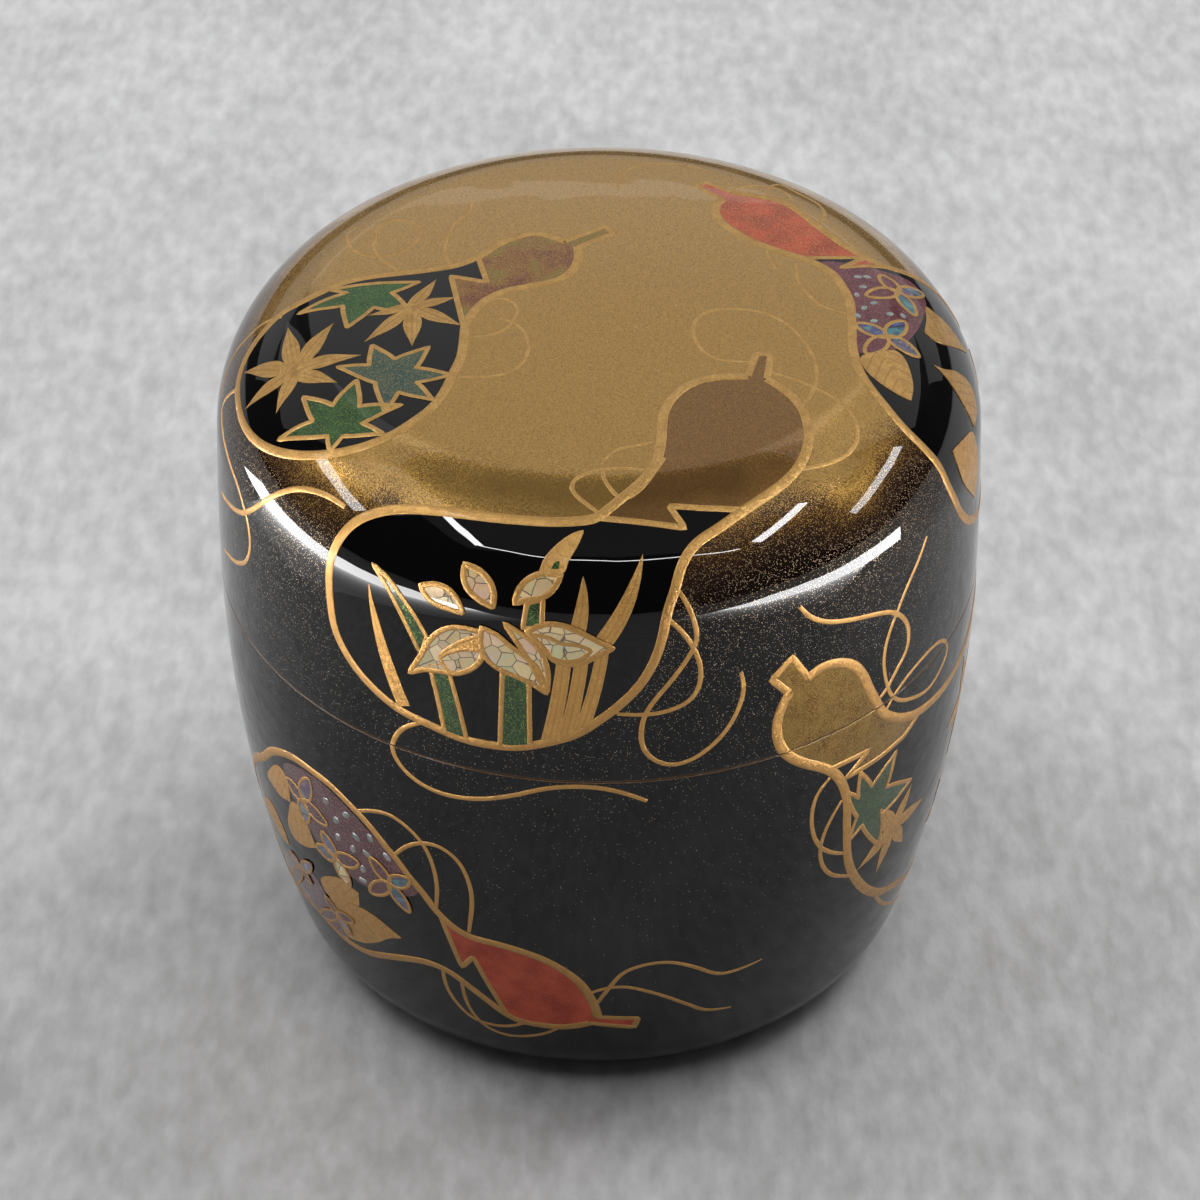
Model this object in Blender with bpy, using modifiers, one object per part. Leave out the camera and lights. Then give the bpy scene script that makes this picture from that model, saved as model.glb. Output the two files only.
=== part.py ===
"""A Japanese lacquered tea caddy of the natsume kind, closed, at its real size.

It is two turned wooden pieces. The body is a thin-walled cup whose inner lip stands up inside the lid,
and the lid is a domed cap that rests on the ledge outside that lip and lifts off. Both outlines are
chains of tangent arcs. The origin is the centre of the foot's plane, +Z is up, and lengths are in metres.
"""

import math

import bpy

# Outer shape, shared by the body and the lid
WIDEST_RADIUS = 0.0330
WIDEST_HEIGHT = 0.0383
BODY_HEIGHT = 0.0404
LID_HEIGHT = 0.0254
TOTAL_HEIGHT = BODY_HEIGHT + LID_HEIGHT
DOME_ARC = 0.2075
SHOULDER_ARC = 0.0111
LID_SIDE_ARC = 0.2600
BODY_SIDE_ARC = 0.1260
HEEL_ARC = 0.0073

# Walls and the hollow
LID_WALL = 0.0017
LID_TOP_THICKNESS = 0.0024
LIP_WALL = 0.0013
LIP_HEIGHT = 0.0075
FLOOR_THICKNESS = 0.0030
INNER_HEEL_ARC = 0.0060
INNER_SHOULDER_ARC = 0.0092

# Ring and recess of the foot, and the fit of lid and lip
FOOT_RING_WIDTH = 0.0022
RECESS_DEPTH = 0.0006
SEAM_GAP = 0.0003
LIP_CLEARANCE = 0.0003
SEAM_EDGE_RADIUS = 0.0003
LIP_EDGE_RADIUS = 0.0004

# How finely the turned shapes are faceted
SEGMENTS = 72
CHORD_ERROR = 0.00006
CORNER_STEPS = 2
MERGE_DISTANCE = 0.00001

# Finish
BLACK = (0.013, 0.012, 0.013, 1.0)
BROWN_BLACK = (0.045, 0.032, 0.018, 1.0)
LACQUER_ROUGHNESS = 0.07

RIGHT = 0.0
UP = math.pi / 2
DOWN = -math.pi / 2


class Arc:
    """A circular arc of an outline, in the plane of radius and height, on the right of its centre."""

    def __init__(self, centre, radius, top, bottom):
        """top and bottom are the angles of its ends, counted from the outward direction."""
        self.centre = centre
        self.radius = radius
        self.top = top
        self.bottom = bottom

    def angle_at(self, height):
        """The angle at which the arc's circle passes this height."""
        sine = (height - self.centre[1]) / self.radius
        return math.asin(max(-1.0, min(1.0, sine)))

    def point(self, angle):
        """The point of the arc's circle at this angle."""
        return (
            self.centre[0] + self.radius * math.cos(angle),
            self.centre[1] + self.radius * math.sin(angle),
        )

    def between(self, highest, lowest):
        """Points down the arc, no higher and no lower than these heights, or none if it lies outside them."""
        start = min(self.top, self.angle_at(highest))
        end = max(self.bottom, self.angle_at(lowest))
        if start <= end:
            return []
        step = 2 * math.acos(1 - CHORD_ERROR / self.radius)
        count = max(CORNER_STEPS, math.ceil((start - end) / step))
        return [self.point(start + (end - start) * i / count) for i in range(count + 1)]


def meeting(first, first_radius, second, second_radius):
    """The point, farther from the axis, at these distances from two other points."""
    along = math.dist(first, second)
    share = (first_radius**2 - second_radius**2 + along**2) / (2 * along)
    across = math.sqrt(first_radius**2 - share**2)
    unit = ((second[0] - first[0]) / along, (second[1] - first[1]) / along)
    foot = (first[0] + share * unit[0], first[1] + share * unit[1])
    side = math.copysign(across, unit[1])
    return (foot[0] + side * unit[1], foot[1] - side * unit[0])


def direction(centre, point):
    """The angle from a centre to a point, counted from the outward direction."""
    return math.atan2(point[1] - centre[1], point[0] - centre[0])


def lid_chain(depth, top_depth, shoulder_arc):
    """The lid's top, shoulder and side as arcs, at a depth under the outer surface.

    depth is measured at the side and top_depth at the top.
    """
    dome_centre = (0.0, TOTAL_HEIGHT - DOME_ARC)
    side_centre = (WIDEST_RADIUS - LID_SIDE_ARC, WIDEST_HEIGHT)
    dome_radius = DOME_ARC - top_depth
    side_radius = LID_SIDE_ARC - depth
    shoulder_centre = meeting(
        dome_centre, dome_radius - shoulder_arc, side_centre, side_radius - shoulder_arc
    )
    dome_end = direction(dome_centre, shoulder_centre)
    side_start = direction(side_centre, shoulder_centre)
    return [
        Arc(dome_centre, dome_radius, UP, dome_end),
        Arc(shoulder_centre, shoulder_arc, dome_end, side_start),
        Arc(side_centre, side_radius, side_start, RIGHT),
    ]


def body_chain(depth, heel_arc, base):
    """The body's side below its widest height and its heel as arcs, at a depth under the outer surface.

    The heel runs out onto a flat base at the height of base.
    """
    side_centre = (WIDEST_RADIUS - BODY_SIDE_ARC, WIDEST_HEIGHT)
    side_radius = BODY_SIDE_ARC - depth
    drop = WIDEST_HEIGHT - base - heel_arc
    reach = math.sqrt((side_radius - heel_arc) ** 2 - drop**2)
    heel_centre = (side_centre[0] + reach, base + heel_arc)
    side_end = direction(side_centre, heel_centre)
    return [
        Arc(side_centre, side_radius, RIGHT, side_end),
        Arc(heel_centre, heel_arc, side_end, DOWN),
    ]


def outer_chain():
    """The closed caddy's whole outline as arcs, from the lid's top down to the foot."""
    return lid_chain(0.0, 0.0, SHOULDER_ARC) + body_chain(0.0, HEEL_ARC, 0.0)


def inner_chain(depth):
    """The hollow of the closed caddy as arcs, at a depth under the outer side."""
    top = lid_chain(depth, LID_TOP_THICKNESS, INNER_SHOULDER_ARC)
    return top + body_chain(depth, INNER_HEEL_ARC, FLOOR_THICKNESS)


def outline(chain, highest, lowest):
    """Points down a chain of arcs between two heights, each corner once."""
    points = []
    for arc in chain:
        for point in arc.between(highest, lowest):
            if not points or math.dist(points[-1], point) > MERGE_DISTANCE:
                points.append(point)
    return points


def rounded_corner(corner, radius, turn_from, turn_to):
    """A quarter circle inside a square corner of the outline."""
    centre = (
        corner[0] - radius * round(math.cos(turn_from) + math.cos(turn_to)),
        corner[1] - radius * round(math.sin(turn_from) + math.sin(turn_to)),
    )
    points = []
    for i in range(CORNER_STEPS + 1):
        angle = turn_from + (turn_to - turn_from) * i / CORNER_STEPS
        points.append(
            (centre[0] + radius * math.cos(angle), centre[1] + radius * math.sin(angle))
        )
    return points


def radius_at(chain, height):
    """The radius at which a chain of arcs passes a height."""
    arc = next(a for a in chain if a.top >= a.angle_at(height) >= a.bottom)
    return arc.point(arc.angle_at(height))[0]


def lid_outline():
    """The lid's section, from the top's centre down the outside and back up the inside."""
    outer = outer_chain()
    rim = BODY_HEIGHT + SEAM_GAP / 2
    rim_edge = (radius_at(outer, rim), rim)
    outside = outline(outer, TOTAL_HEIGHT, rim + SEAM_EDGE_RADIUS)
    edge = rounded_corner(rim_edge, SEAM_EDGE_RADIUS, RIGHT, DOWN)
    inside = outline(inner_chain(LID_WALL), TOTAL_HEIGHT, rim)
    return outside[:-1] + edge + inside[::-1]


def body_outline():
    """The body's section, from the floor's middle up the inside, over the lip and down the outside."""
    outer = outer_chain()
    lip_face = inner_chain(LID_WALL + LIP_CLEARANCE)
    hollow = inner_chain(LID_WALL + LIP_CLEARANCE + LIP_WALL)
    ledge = BODY_HEIGHT - SEAM_GAP / 2
    lip_top = ledge + LIP_HEIGHT
    below_lip_edge = lip_top - LIP_EDGE_RADIUS
    lip_inner = (radius_at(hollow, lip_top), lip_top)
    lip_outer = (radius_at(lip_face, lip_top), lip_top)
    ledge_edge = (radius_at(outer, ledge), ledge)

    floor = [(0.0, FLOOR_THICKNESS)]
    inside = outline(hollow, below_lip_edge, FLOOR_THICKNESS)[::-1][:-1]
    lip = rounded_corner(lip_inner, LIP_EDGE_RADIUS, -math.pi, -1.5 * math.pi)
    lip += rounded_corner(lip_outer, LIP_EDGE_RADIUS, UP, RIGHT)
    down_lip = outline(lip_face, below_lip_edge, ledge)[1:]
    edge = rounded_corner(ledge_edge, SEAM_EDGE_RADIUS, UP, RIGHT)
    outside = outline(outer, ledge - SEAM_EDGE_RADIUS, 0.0)[1:]
    foot_radius = outside[-1][0]
    underside = [
        (foot_radius - FOOT_RING_WIDTH, 0.0),
        (foot_radius - FOOT_RING_WIDTH, RECESS_DEPTH),
        (0.0, RECESS_DEPTH),
    ]
    return floor + inside + lip + down_lip + edge + outside + underside


def turned(name, section, collection):
    """A solid of revolution about Z from a section that runs down its outer side."""
    mesh = bpy.data.meshes.new(name)
    vertices = [(radius, 0.0, height) for radius, height in section]
    edges = [(i, i + 1) for i in range(len(section) - 1)]
    mesh.from_pydata(vertices, edges, [])
    obj = bpy.data.objects.new(name, mesh)
    collection.objects.link(obj)
    screw = obj.modifiers.new("turn", "SCREW")
    screw.axis = "Z"
    screw.angle = 2 * math.pi
    screw.steps = SEGMENTS
    screw.render_steps = SEGMENTS
    screw.use_merge_vertices = True
    screw.merge_threshold = MERGE_DISTANCE
    screw.use_smooth_shade = True
    return obj


def bake(obj):
    """Replaces the object's mesh by the one that its modifiers make."""
    bpy.context.view_layer.update()
    graph = bpy.context.evaluated_depsgraph_get()
    mesh = bpy.data.meshes.new_from_object(obj.evaluated_get(graph))
    obj.modifiers.clear()
    obj.data = mesh
    mesh.set_sharp_from_angle(angle=math.radians(35))


def lacquer(name, colour):
    """A polished lacquer finish."""
    material = bpy.data.materials.new(name)
    material.use_nodes = True
    shader = material.node_tree.nodes["Principled BSDF"]
    shader.inputs["Base Color"].default_value = colour
    shader.inputs["Metallic"].default_value = 0.0
    shader.inputs["Roughness"].default_value = LACQUER_ROUGHNESS
    return material


def make_body(collection):
    """The cup with its standing lip, in black lacquer."""
    body = turned("body", body_outline(), collection)
    bake(body)
    body.data.materials.append(lacquer("body_lacquer", BLACK))


def make_lid(collection):
    """The domed cap, in lacquer made browner by gold dust."""
    lid = turned("lid", lid_outline(), collection)
    bake(lid)
    lid.data.materials.append(lacquer("lid_lacquer", BROWN_BLACK))


def clear_scene():
    """Removes whatever the open file holds."""
    for obj in list(bpy.data.objects):
        bpy.data.objects.remove(obj)


def main():
    """Builds the closed caddy in a collection of its own."""
    clear_scene()
    collection = bpy.data.collections.new("lacquer tea caddy")
    bpy.context.scene.collection.children.link(collection)
    make_body(collection)
    make_lid(collection)


main()
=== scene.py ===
"""The looks of a closed tea caddy: black lacquer, gold dust on the lid, and gourds in gold and shell.

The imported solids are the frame. The lid and the body are turned again here with finer facets and with the
same sizes, and the decoration lies on them as thin raised gold lines and thin plates. Lengths are in metres,
and those of the decoration in millimetres. A place in the decoration is given as a pixel of the 1200 by 1200
picture, which is dropped onto the turned surface, or as a bearing and a height where the picture doesn't
show it.
"""

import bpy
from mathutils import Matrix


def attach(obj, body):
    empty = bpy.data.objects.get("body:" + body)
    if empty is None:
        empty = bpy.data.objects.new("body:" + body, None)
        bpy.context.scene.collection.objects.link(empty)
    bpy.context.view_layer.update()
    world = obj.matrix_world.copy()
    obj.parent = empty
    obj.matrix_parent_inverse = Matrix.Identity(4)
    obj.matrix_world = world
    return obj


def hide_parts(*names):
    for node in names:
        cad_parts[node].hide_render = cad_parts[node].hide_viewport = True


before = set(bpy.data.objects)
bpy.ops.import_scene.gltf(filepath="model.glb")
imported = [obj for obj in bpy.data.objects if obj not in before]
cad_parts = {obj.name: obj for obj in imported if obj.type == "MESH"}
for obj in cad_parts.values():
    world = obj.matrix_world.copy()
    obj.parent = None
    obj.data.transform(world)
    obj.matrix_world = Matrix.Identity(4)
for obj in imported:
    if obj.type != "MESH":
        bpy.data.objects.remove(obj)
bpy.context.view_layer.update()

import logging
import math
from dataclasses import dataclass, field
from enum import Enum

import bmesh
import bpy
import numpy as np
from mathutils import Matrix, Vector
from mathutils.geometry import delaunay_2d_cdt

MM = 0.001
UP = math.pi / 2
DOWN = -math.pi / 2
RIGHT = 0.0

Pair = tuple[float, float]
Colour = tuple[float, float, float]
Socket = bpy.types.NodeSocket
Value = Socket | float
Place = Socket | tuple[float, ...]
Mesh = bpy.types.Mesh

logging.basicConfig(level=logging.INFO, format="%(levelname)s %(message)s")
log = logging.getLogger("tea_caddy")


@dataclass(frozen=True)
class At:
    """A place on the surface that the picture doesn't show.

    The bearing is in degrees round from the camera's side, positive to the right, and the height is in
    millimetres above the table.
    """

    bearing: float
    height: float


Spot = Pair | At
Points = np.ndarray


class Part(Enum):
    """The two turned pieces, each with its material slot."""

    LID = "lid"
    BODY = "body"

    @property
    def slot(self) -> str:
        """The name of the piece's material slot."""
        return f"{self.value}_lacquer"


class Ground(Enum):
    """The lacquer grounds that lie inside the gourds' outlines."""

    BLACK = "black_ground"
    VERMILION = "vermilion_ground"
    OLD_GOLD = "old_gold_ground"
    BROWN = "brown_ground"
    AUTUMN = "autumn_ground"


class Paint(Enum):
    """The finishes of the figures inside the gourds."""

    LINE = "gold_line"
    GOLD = "gold_leaf"
    GREEN = "green"
    BLUE_GREEN = "blue_green"
    VIOLET = "violet"
    NACRE = "nacre"
    ABALONE = "abalone"


@dataclass(frozen=True)
class Arc:
    """A circular arc of an outline, in the plane of radius and height, on the right of its centre."""

    centre: Pair
    radius: float
    top: float
    bottom: float

    def angle_at(self, height: float) -> float:
        """The angle at which the arc's circle passes a height."""
        return math.asin(max(-1.0, min(1.0, (height - self.centre[1]) / self.radius)))

    def point(self, angle: float) -> Pair:
        """The point of the arc's circle at an angle."""
        return (
            self.centre[0] + self.radius * math.cos(angle),
            self.centre[1] + self.radius * math.sin(angle),
        )

    def between(self, highest: float, lowest: float, step: float) -> list[Pair]:
        """Points down the arc between two heights.

        Args:
            highest: the greatest height.
            lowest: the least height.
            step: the longest distance between two points.

        Returns:
            The points as radius and height, or none where the arc lies outside.
        """
        start = min(self.top, self.angle_at(highest))
        end = max(self.bottom, self.angle_at(lowest))
        if start <= end:
            return []
        count = max(2, math.ceil((start - end) * self.radius / step))
        return [self.point(start + (end - start) * i / count) for i in range(count + 1)]


def meeting(
    first: Pair, first_radius: float, second: Pair, second_radius: float
) -> Pair:
    """Where two circles meet, on the side away from the axis.

    Args:
        first: the first circle's centre.
        first_radius: its radius.
        second: the second circle's centre.
        second_radius: its radius.

    Returns:
        The meeting point as radius and height.
    """
    along = math.dist(first, second)
    share = (first_radius**2 - second_radius**2 + along**2) / (2 * along)
    across = math.sqrt(first_radius**2 - share**2)
    unit = ((second[0] - first[0]) / along, (second[1] - first[1]) / along)
    foot = (first[0] + share * unit[0], first[1] + share * unit[1])
    side = math.copysign(across, unit[1])
    return (foot[0] + side * unit[1], foot[1] - side * unit[0])


def linked(name: str, data: bpy.types.ID) -> bpy.types.Object:
    """A new object in the scene."""
    made = bpy.data.objects.new(name, data)
    bpy.context.scene.collection.objects.link(made)
    return made


def direction(centre: Pair, point: Pair) -> float:
    """The angle from a centre to a point, counted from the outward direction."""
    return math.atan2(point[1] - centre[1], point[0] - centre[0])


@dataclass
class TurnedForm:
    """The turned outline of lid and body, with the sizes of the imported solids."""

    widest_radius: float = 0.0330
    widest_height: float = 0.0383
    body_height: float = 0.0404
    lid_height: float = 0.0254
    dome_arc: float = 0.2075
    shoulder_arc: float = 0.0111
    lid_side_arc: float = 0.2600
    body_side_arc: float = 0.1260
    heel_arc: float = 0.0073
    lid_wall: float = 0.0017
    lid_top_thickness: float = 0.0024
    lip_wall: float = 0.0013
    lip_height: float = 0.0075
    floor_thickness: float = 0.0030
    inner_heel_arc: float = 0.0060
    inner_shoulder_arc: float = 0.0092
    foot_ring_width: float = 0.0022
    recess_depth: float = 0.0006
    seam_gap: float = 0.00006
    lip_clearance: float = 0.0003
    seam_edge_radius: float = 0.00010
    lip_edge_radius: float = 0.0004
    outer_step: float = 0.00036
    inner_step: float = 0.0011
    corner_steps: int = 5
    merge_distance: float = 0.00001
    arcs: list[Arc] = field(init=False)

    def __post_init__(self) -> None:
        """Works out the arcs of the closed caddy's whole outline."""
        self.arcs = self.lid_chain(0.0, 0.0, self.shoulder_arc) + self.body_chain(0.0, self.heel_arc, 0.0)

    @property
    def total_height(self) -> float:
        """The closed caddy's height."""
        return self.body_height + self.lid_height

    def lid_chain(self, depth: float, top_depth: float, shoulder_arc: float) -> list[Arc]:
        """The lid's top, shoulder and side.

        Args:
            depth: how far under the outer side.
            top_depth: how far under the outer top.
            shoulder_arc: the shoulder's radius at that depth.

        Returns:
            Three arcs, from the top down.
        """
        dome_centre = (0.0, self.total_height - self.dome_arc)
        side_centre = (self.widest_radius - self.lid_side_arc, self.widest_height)
        dome_radius = self.dome_arc - top_depth
        side_radius = self.lid_side_arc - depth
        shoulder_centre = meeting(
            dome_centre, dome_radius - shoulder_arc, side_centre, side_radius - shoulder_arc
        )
        dome_end = direction(dome_centre, shoulder_centre)
        side_start = direction(side_centre, shoulder_centre)
        return [
            Arc(dome_centre, dome_radius, UP, dome_end),
            Arc(shoulder_centre, shoulder_arc, dome_end, side_start),
            Arc(side_centre, side_radius, side_start, RIGHT),
        ]

    def body_chain(self, depth: float, heel_arc: float, base: float) -> list[Arc]:
        """The body's side and heel.

        Args:
            depth: how far under the outer side.
            heel_arc: the heel's radius at that depth.
            base: the height of the flat that the heel runs out onto.

        Returns:
            Two arcs, from the top down.
        """
        side_centre = (self.widest_radius - self.body_side_arc, self.widest_height)
        side_radius = self.body_side_arc - depth
        drop = self.widest_height - base - heel_arc
        reach = math.sqrt((side_radius - heel_arc) ** 2 - drop**2)
        heel_centre = (side_centre[0] + reach, base + heel_arc)
        side_end = direction(side_centre, heel_centre)
        return [
            Arc(side_centre, side_radius, RIGHT, side_end),
            Arc(heel_centre, heel_arc, side_end, DOWN),
        ]

    def inner_chain(self, depth: float) -> list[Arc]:
        """The hollow of the closed caddy, at a depth under the outer side."""
        top = self.lid_chain(depth, self.lid_top_thickness, self.inner_shoulder_arc)
        return top + self.body_chain(depth, self.inner_heel_arc, self.floor_thickness)

    def trace(self, chain: list[Arc], highest: float, lowest: float, step: float) -> list[Pair]:
        """Points down a chain of arcs.

        Args:
            chain: the arcs, from the top down.
            highest: the height to start at.
            lowest: the height to end at.
            step: the longest distance between two points.

        Returns:
            The points as radius and height, each corner once.
        """
        points: list[Pair] = []
        for arc in chain:
            for point in arc.between(highest, lowest, step):
                if not points or math.dist(points[-1], point) > self.merge_distance:
                    points.append(point)
        return points

    def corner(
        self, corner: Pair, radius: float, turn_from: float, turn_to: float
    ) -> list[Pair]:
        """A quarter circle inside a square corner of the outline.

        Args:
            corner: the square corner.
            radius: the radius that rounds it.
            turn_from: the angle of the quarter's start.
            turn_to: the angle of its end.

        Returns:
            The points as radius and height.
        """
        centre = (
            corner[0] - radius * round(math.cos(turn_from) + math.cos(turn_to)),
            corner[1] - radius * round(math.sin(turn_from) + math.sin(turn_to)),
        )
        steps = self.corner_steps
        turns = [turn_from + (turn_to - turn_from) * i / steps for i in range(steps + 1)]
        return [(centre[0] + radius * math.cos(a), centre[1] + radius * math.sin(a)) for a in turns]

    def radius_at(self, chain: list[Arc], height: float) -> float:
        """The radius at which a chain of arcs passes a height."""
        arc = next(a for a in chain if a.top >= a.angle_at(height) >= a.bottom)
        return arc.point(arc.angle_at(height))[0]

    def lid_section(self) -> list[Pair]:
        """The lid's section, from the top's centre down the outside and back up the inside."""
        rim = self.body_height + self.seam_gap / 2
        rim_edge = (self.radius_at(self.arcs, rim), rim)
        outside = self.trace(self.arcs, self.total_height, rim + self.seam_edge_radius, self.outer_step)
        edge = self.corner(rim_edge, self.seam_edge_radius, RIGHT, DOWN)
        inside = self.trace(self.inner_chain(self.lid_wall), self.total_height, rim, self.inner_step)
        return outside[:-1] + edge + inside[::-1]

    def body_section(self) -> list[Pair]:
        """The body's section, from the floor's middle up the inside, over the lip and down to the foot."""
        lip_face = self.inner_chain(self.lid_wall + self.lip_clearance)
        hollow = self.inner_chain(self.lid_wall + self.lip_clearance + self.lip_wall)
        ledge = self.body_height - self.seam_gap / 2
        lip_top = ledge + self.lip_height
        below_lip_edge = lip_top - self.lip_edge_radius
        inside = self.trace(hollow, below_lip_edge, self.floor_thickness, self.inner_step)[::-1]
        lip = self.corner(
            (self.radius_at(hollow, lip_top), lip_top), self.lip_edge_radius, -math.pi, -1.5 * math.pi
        )
        lip += self.corner((self.radius_at(lip_face, lip_top), lip_top), self.lip_edge_radius, UP, RIGHT)
        down_lip = self.trace(lip_face, below_lip_edge, ledge, self.inner_step)
        edge = self.corner((self.radius_at(self.arcs, ledge), ledge), self.seam_edge_radius, UP, RIGHT)
        outside = self.trace(self.arcs, ledge - self.seam_edge_radius, 0.0, self.outer_step)
        foot = outside[-1][0] - self.foot_ring_width
        ring = [(foot, 0.0), (foot, self.recess_depth), (0.0, self.recess_depth)]
        floor = [(0.0, self.floor_thickness)]
        return floor + inside[:-1] + lip + down_lip[1:] + edge + outside[1:] + ring

    def distance(self, points: Points) -> tuple[Points, Points]:
        """How far points stand off the outer surface.

        Args:
            points: the points, one a row.

        Returns:
            The signed distances, positive outside, and the outward normals.
        """
        radius = np.hypot(points[:, 0], points[:, 1])
        height = points[:, 2]
        turns = [np.arctan2(height - arc.centre[1], radius - arc.centre[0]) for arc in self.arcs[:-1]]
        chosen = np.select([turn >= arc.bottom for turn, arc in zip(turns, self.arcs)], range(4), 4)
        centres = np.array([arc.centre for arc in self.arcs])[chosen]
        radii = np.array([arc.radius for arc in self.arcs])[chosen]
        away = np.stack([radius - centres[:, 0], height - centres[:, 1]], 1)
        length = np.linalg.norm(away, axis=1)
        flat = away / length[:, None]
        spread = flat[:, 0] / np.maximum(radius, 1e-9)
        normals = np.stack([spread * points[:, 0], spread * points[:, 1], flat[:, 1]], 1)
        return length - radii, normals

    def settle(self, points: Points) -> tuple[Points, Points]:
        """The nearest points of the outer surface, and the normals there."""
        off, normals = self.distance(points)
        return points - normals * off[:, None], normals

    def place(self, at: At) -> Points:
        """The surface point at a bearing and a height."""
        radius = self.radius_at(self.arcs, at.height * MM)
        turn = math.radians(at.bearing)
        return np.array([radius * math.sin(turn), -radius * math.cos(turn), at.height * MM])


@dataclass
class PhotoView:
    """The camera that matches the picture, and the way from its pixels to the surface."""

    form: TurnedForm
    away: float = 0.350
    elevation: float = 38.65
    focal_pixels: float = 3946.75
    aim_height: float = 0.03295
    centre: Pair = (598.98, 600.0)
    picture: int = 1200
    sensor: float = 36.0
    clear: float = 0.07
    rounds: int = 60

    def __post_init__(self) -> None:
        """Works out the camera's place and axes."""
        turn = math.radians(self.elevation)
        back = np.array([0.0, -math.cos(turn), math.sin(turn)])
        self.origin = np.array([0.0, 0.0, self.aim_height]) + self.away * back
        self.forward = -back
        self.up = np.array([0.0, math.sin(turn), math.cos(turn)])
        self.right = np.array([1.0, 0.0, 0.0])

    def cast(self, pixels: list[Pair]) -> Points:
        """Drops pixels onto the surface; one beside the caddy goes to the nearest side."""
        spots = np.array(pixels, float)
        across = (spots[:, 0] - self.centre[0]) / self.focal_pixels
        down = (spots[:, 1] - self.centre[1]) / self.focal_pixels
        rays = self.forward + across[:, None] * self.right - down[:, None] * self.up
        rays /= np.linalg.norm(rays, axis=1)[:, None]
        points = self.origin + rays * (self.away - self.clear)
        for _ in range(self.rounds):
            off, normals = self.form.distance(points)
            facing = (normals * rays).sum(1)
            step = np.where(facing < -0.01, -off / np.minimum(facing, -0.01), 0.0)
            points = points + rays * step[:, None]
        return self.form.settle(points)[0]

    def find(self, spots: list[Spot]) -> Points:
        """The surface points of spots of either kind."""
        found = np.zeros((len(spots), 3))
        seen = [i for i, spot in enumerate(spots) if not isinstance(spot, At)]
        if seen:
            found[seen] = self.cast([spots[i] for i in seen])
        for i, spot in enumerate(spots):
            if isinstance(spot, At):
                found[i] = self.form.place(spot)
        return found

    def make_camera(self) -> bpy.types.Object:
        """Makes the scene's camera, with the picture's framing."""
        data = bpy.data.cameras.new("camera")
        data.sensor_width = self.sensor
        data.lens = self.focal_pixels / self.picture * self.sensor
        data.shift_x = (self.picture / 2 - self.centre[0]) / self.picture
        data.clip_start, data.clip_end = 0.01, 20.0
        camera = linked("camera", data)
        camera.location = self.origin
        camera.rotation_euler = (math.radians(90 - self.elevation), 0.0, 0.0)
        bpy.context.scene.camera = camera
        return camera


@dataclass
class Path:
    """A line on the surface: its points and normals, one a row, and its half width at each, in metres."""

    points: Points
    normals: Points
    half: Points
    closed: bool = False


def spaced(points: Points, step: float, closed: bool) -> Points:
    """A polyline's points again, at even steps.

    Args:
        points: the polyline.
        step: the distance between two new points.
        closed: whether its end meets its start.

    Returns:
        The new points.
    """
    ring = np.vstack([points, points[:1]]) if closed else points
    lengths = np.r_[0.0, np.cumsum(np.linalg.norm(np.diff(ring, axis=0), axis=1))]
    count = max(2, round(lengths[-1] / step))
    places = np.linspace(0.0, lengths[-1], count + 1)
    out = np.stack([np.interp(places, lengths, ring[:, i]) for i in range(ring.shape[1])], 1)
    return out[:-1] if closed else out


def curved(points: Points, closed: bool, pieces: int = 8) -> Points:
    """A smooth curve through points.

    Args:
        points: the points that it passes.
        closed: whether its end meets its start.
        pieces: how many steps it takes from one point to the next.

    Returns:
        The curve's points.
    """
    if closed:
        padded = np.vstack([points[-1:], points, points[:2]])
    else:
        padded = np.vstack([2 * points[:1] - points[1:2], points, 2 * points[-1:] - points[-2:-1]])
    out = []
    for a, b, c, d in zip(padded[:-3], padded[1:-2], padded[2:-1], padded[3:]):
        gaps = [max(np.linalg.norm(q - p), 1e-7) ** 0.5 for p, q in ((a, b), (b, c), (c, d))]
        knots = np.r_[0.0, np.cumsum(gaps)]
        for i in range(pieces):
            t = knots[1] + (knots[2] - knots[1]) * i / pieces
            low = [
                (p * (knots[k + 1] - t) + q * (t - knots[k])) / (knots[k + 1] - knots[k])
                for k, (p, q) in enumerate(((a, b), (b, c), (c, d)))
            ]
            mid = [
                (p * (knots[k + 2] - t) + q * (t - knots[k])) / (knots[k + 2] - knots[k])
                for k, (p, q) in enumerate(zip(low[:-1], low[1:]))
            ]
            out.append((mid[0] * (knots[2] - t) + mid[1] * (t - knots[1])) / (knots[2] - knots[1]))
    if not closed:
        out.append(points[-1])
    return np.array(out)


def inside_polygon(points: Points, polygon: Points) -> Points:
    """Tells which points lie inside a polygon of the plane.

    Args:
        points: the points, one a row.
        polygon: the polygon's corners.

    Returns:
        One truth value for each point.
    """
    inside = np.zeros(len(points), bool)
    x, y = points[:, 0], points[:, 1]
    for (x1, y1), (x2, y2) in zip(polygon, np.roll(polygon, -1, axis=0)):
        if y1 == y2:
            continue
        crosses = (y1 > y) != (y2 > y)
        inside ^= crosses & (x < (x2 - x1) * (y - y1) / (y2 - y1) + x1)
    return inside


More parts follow.
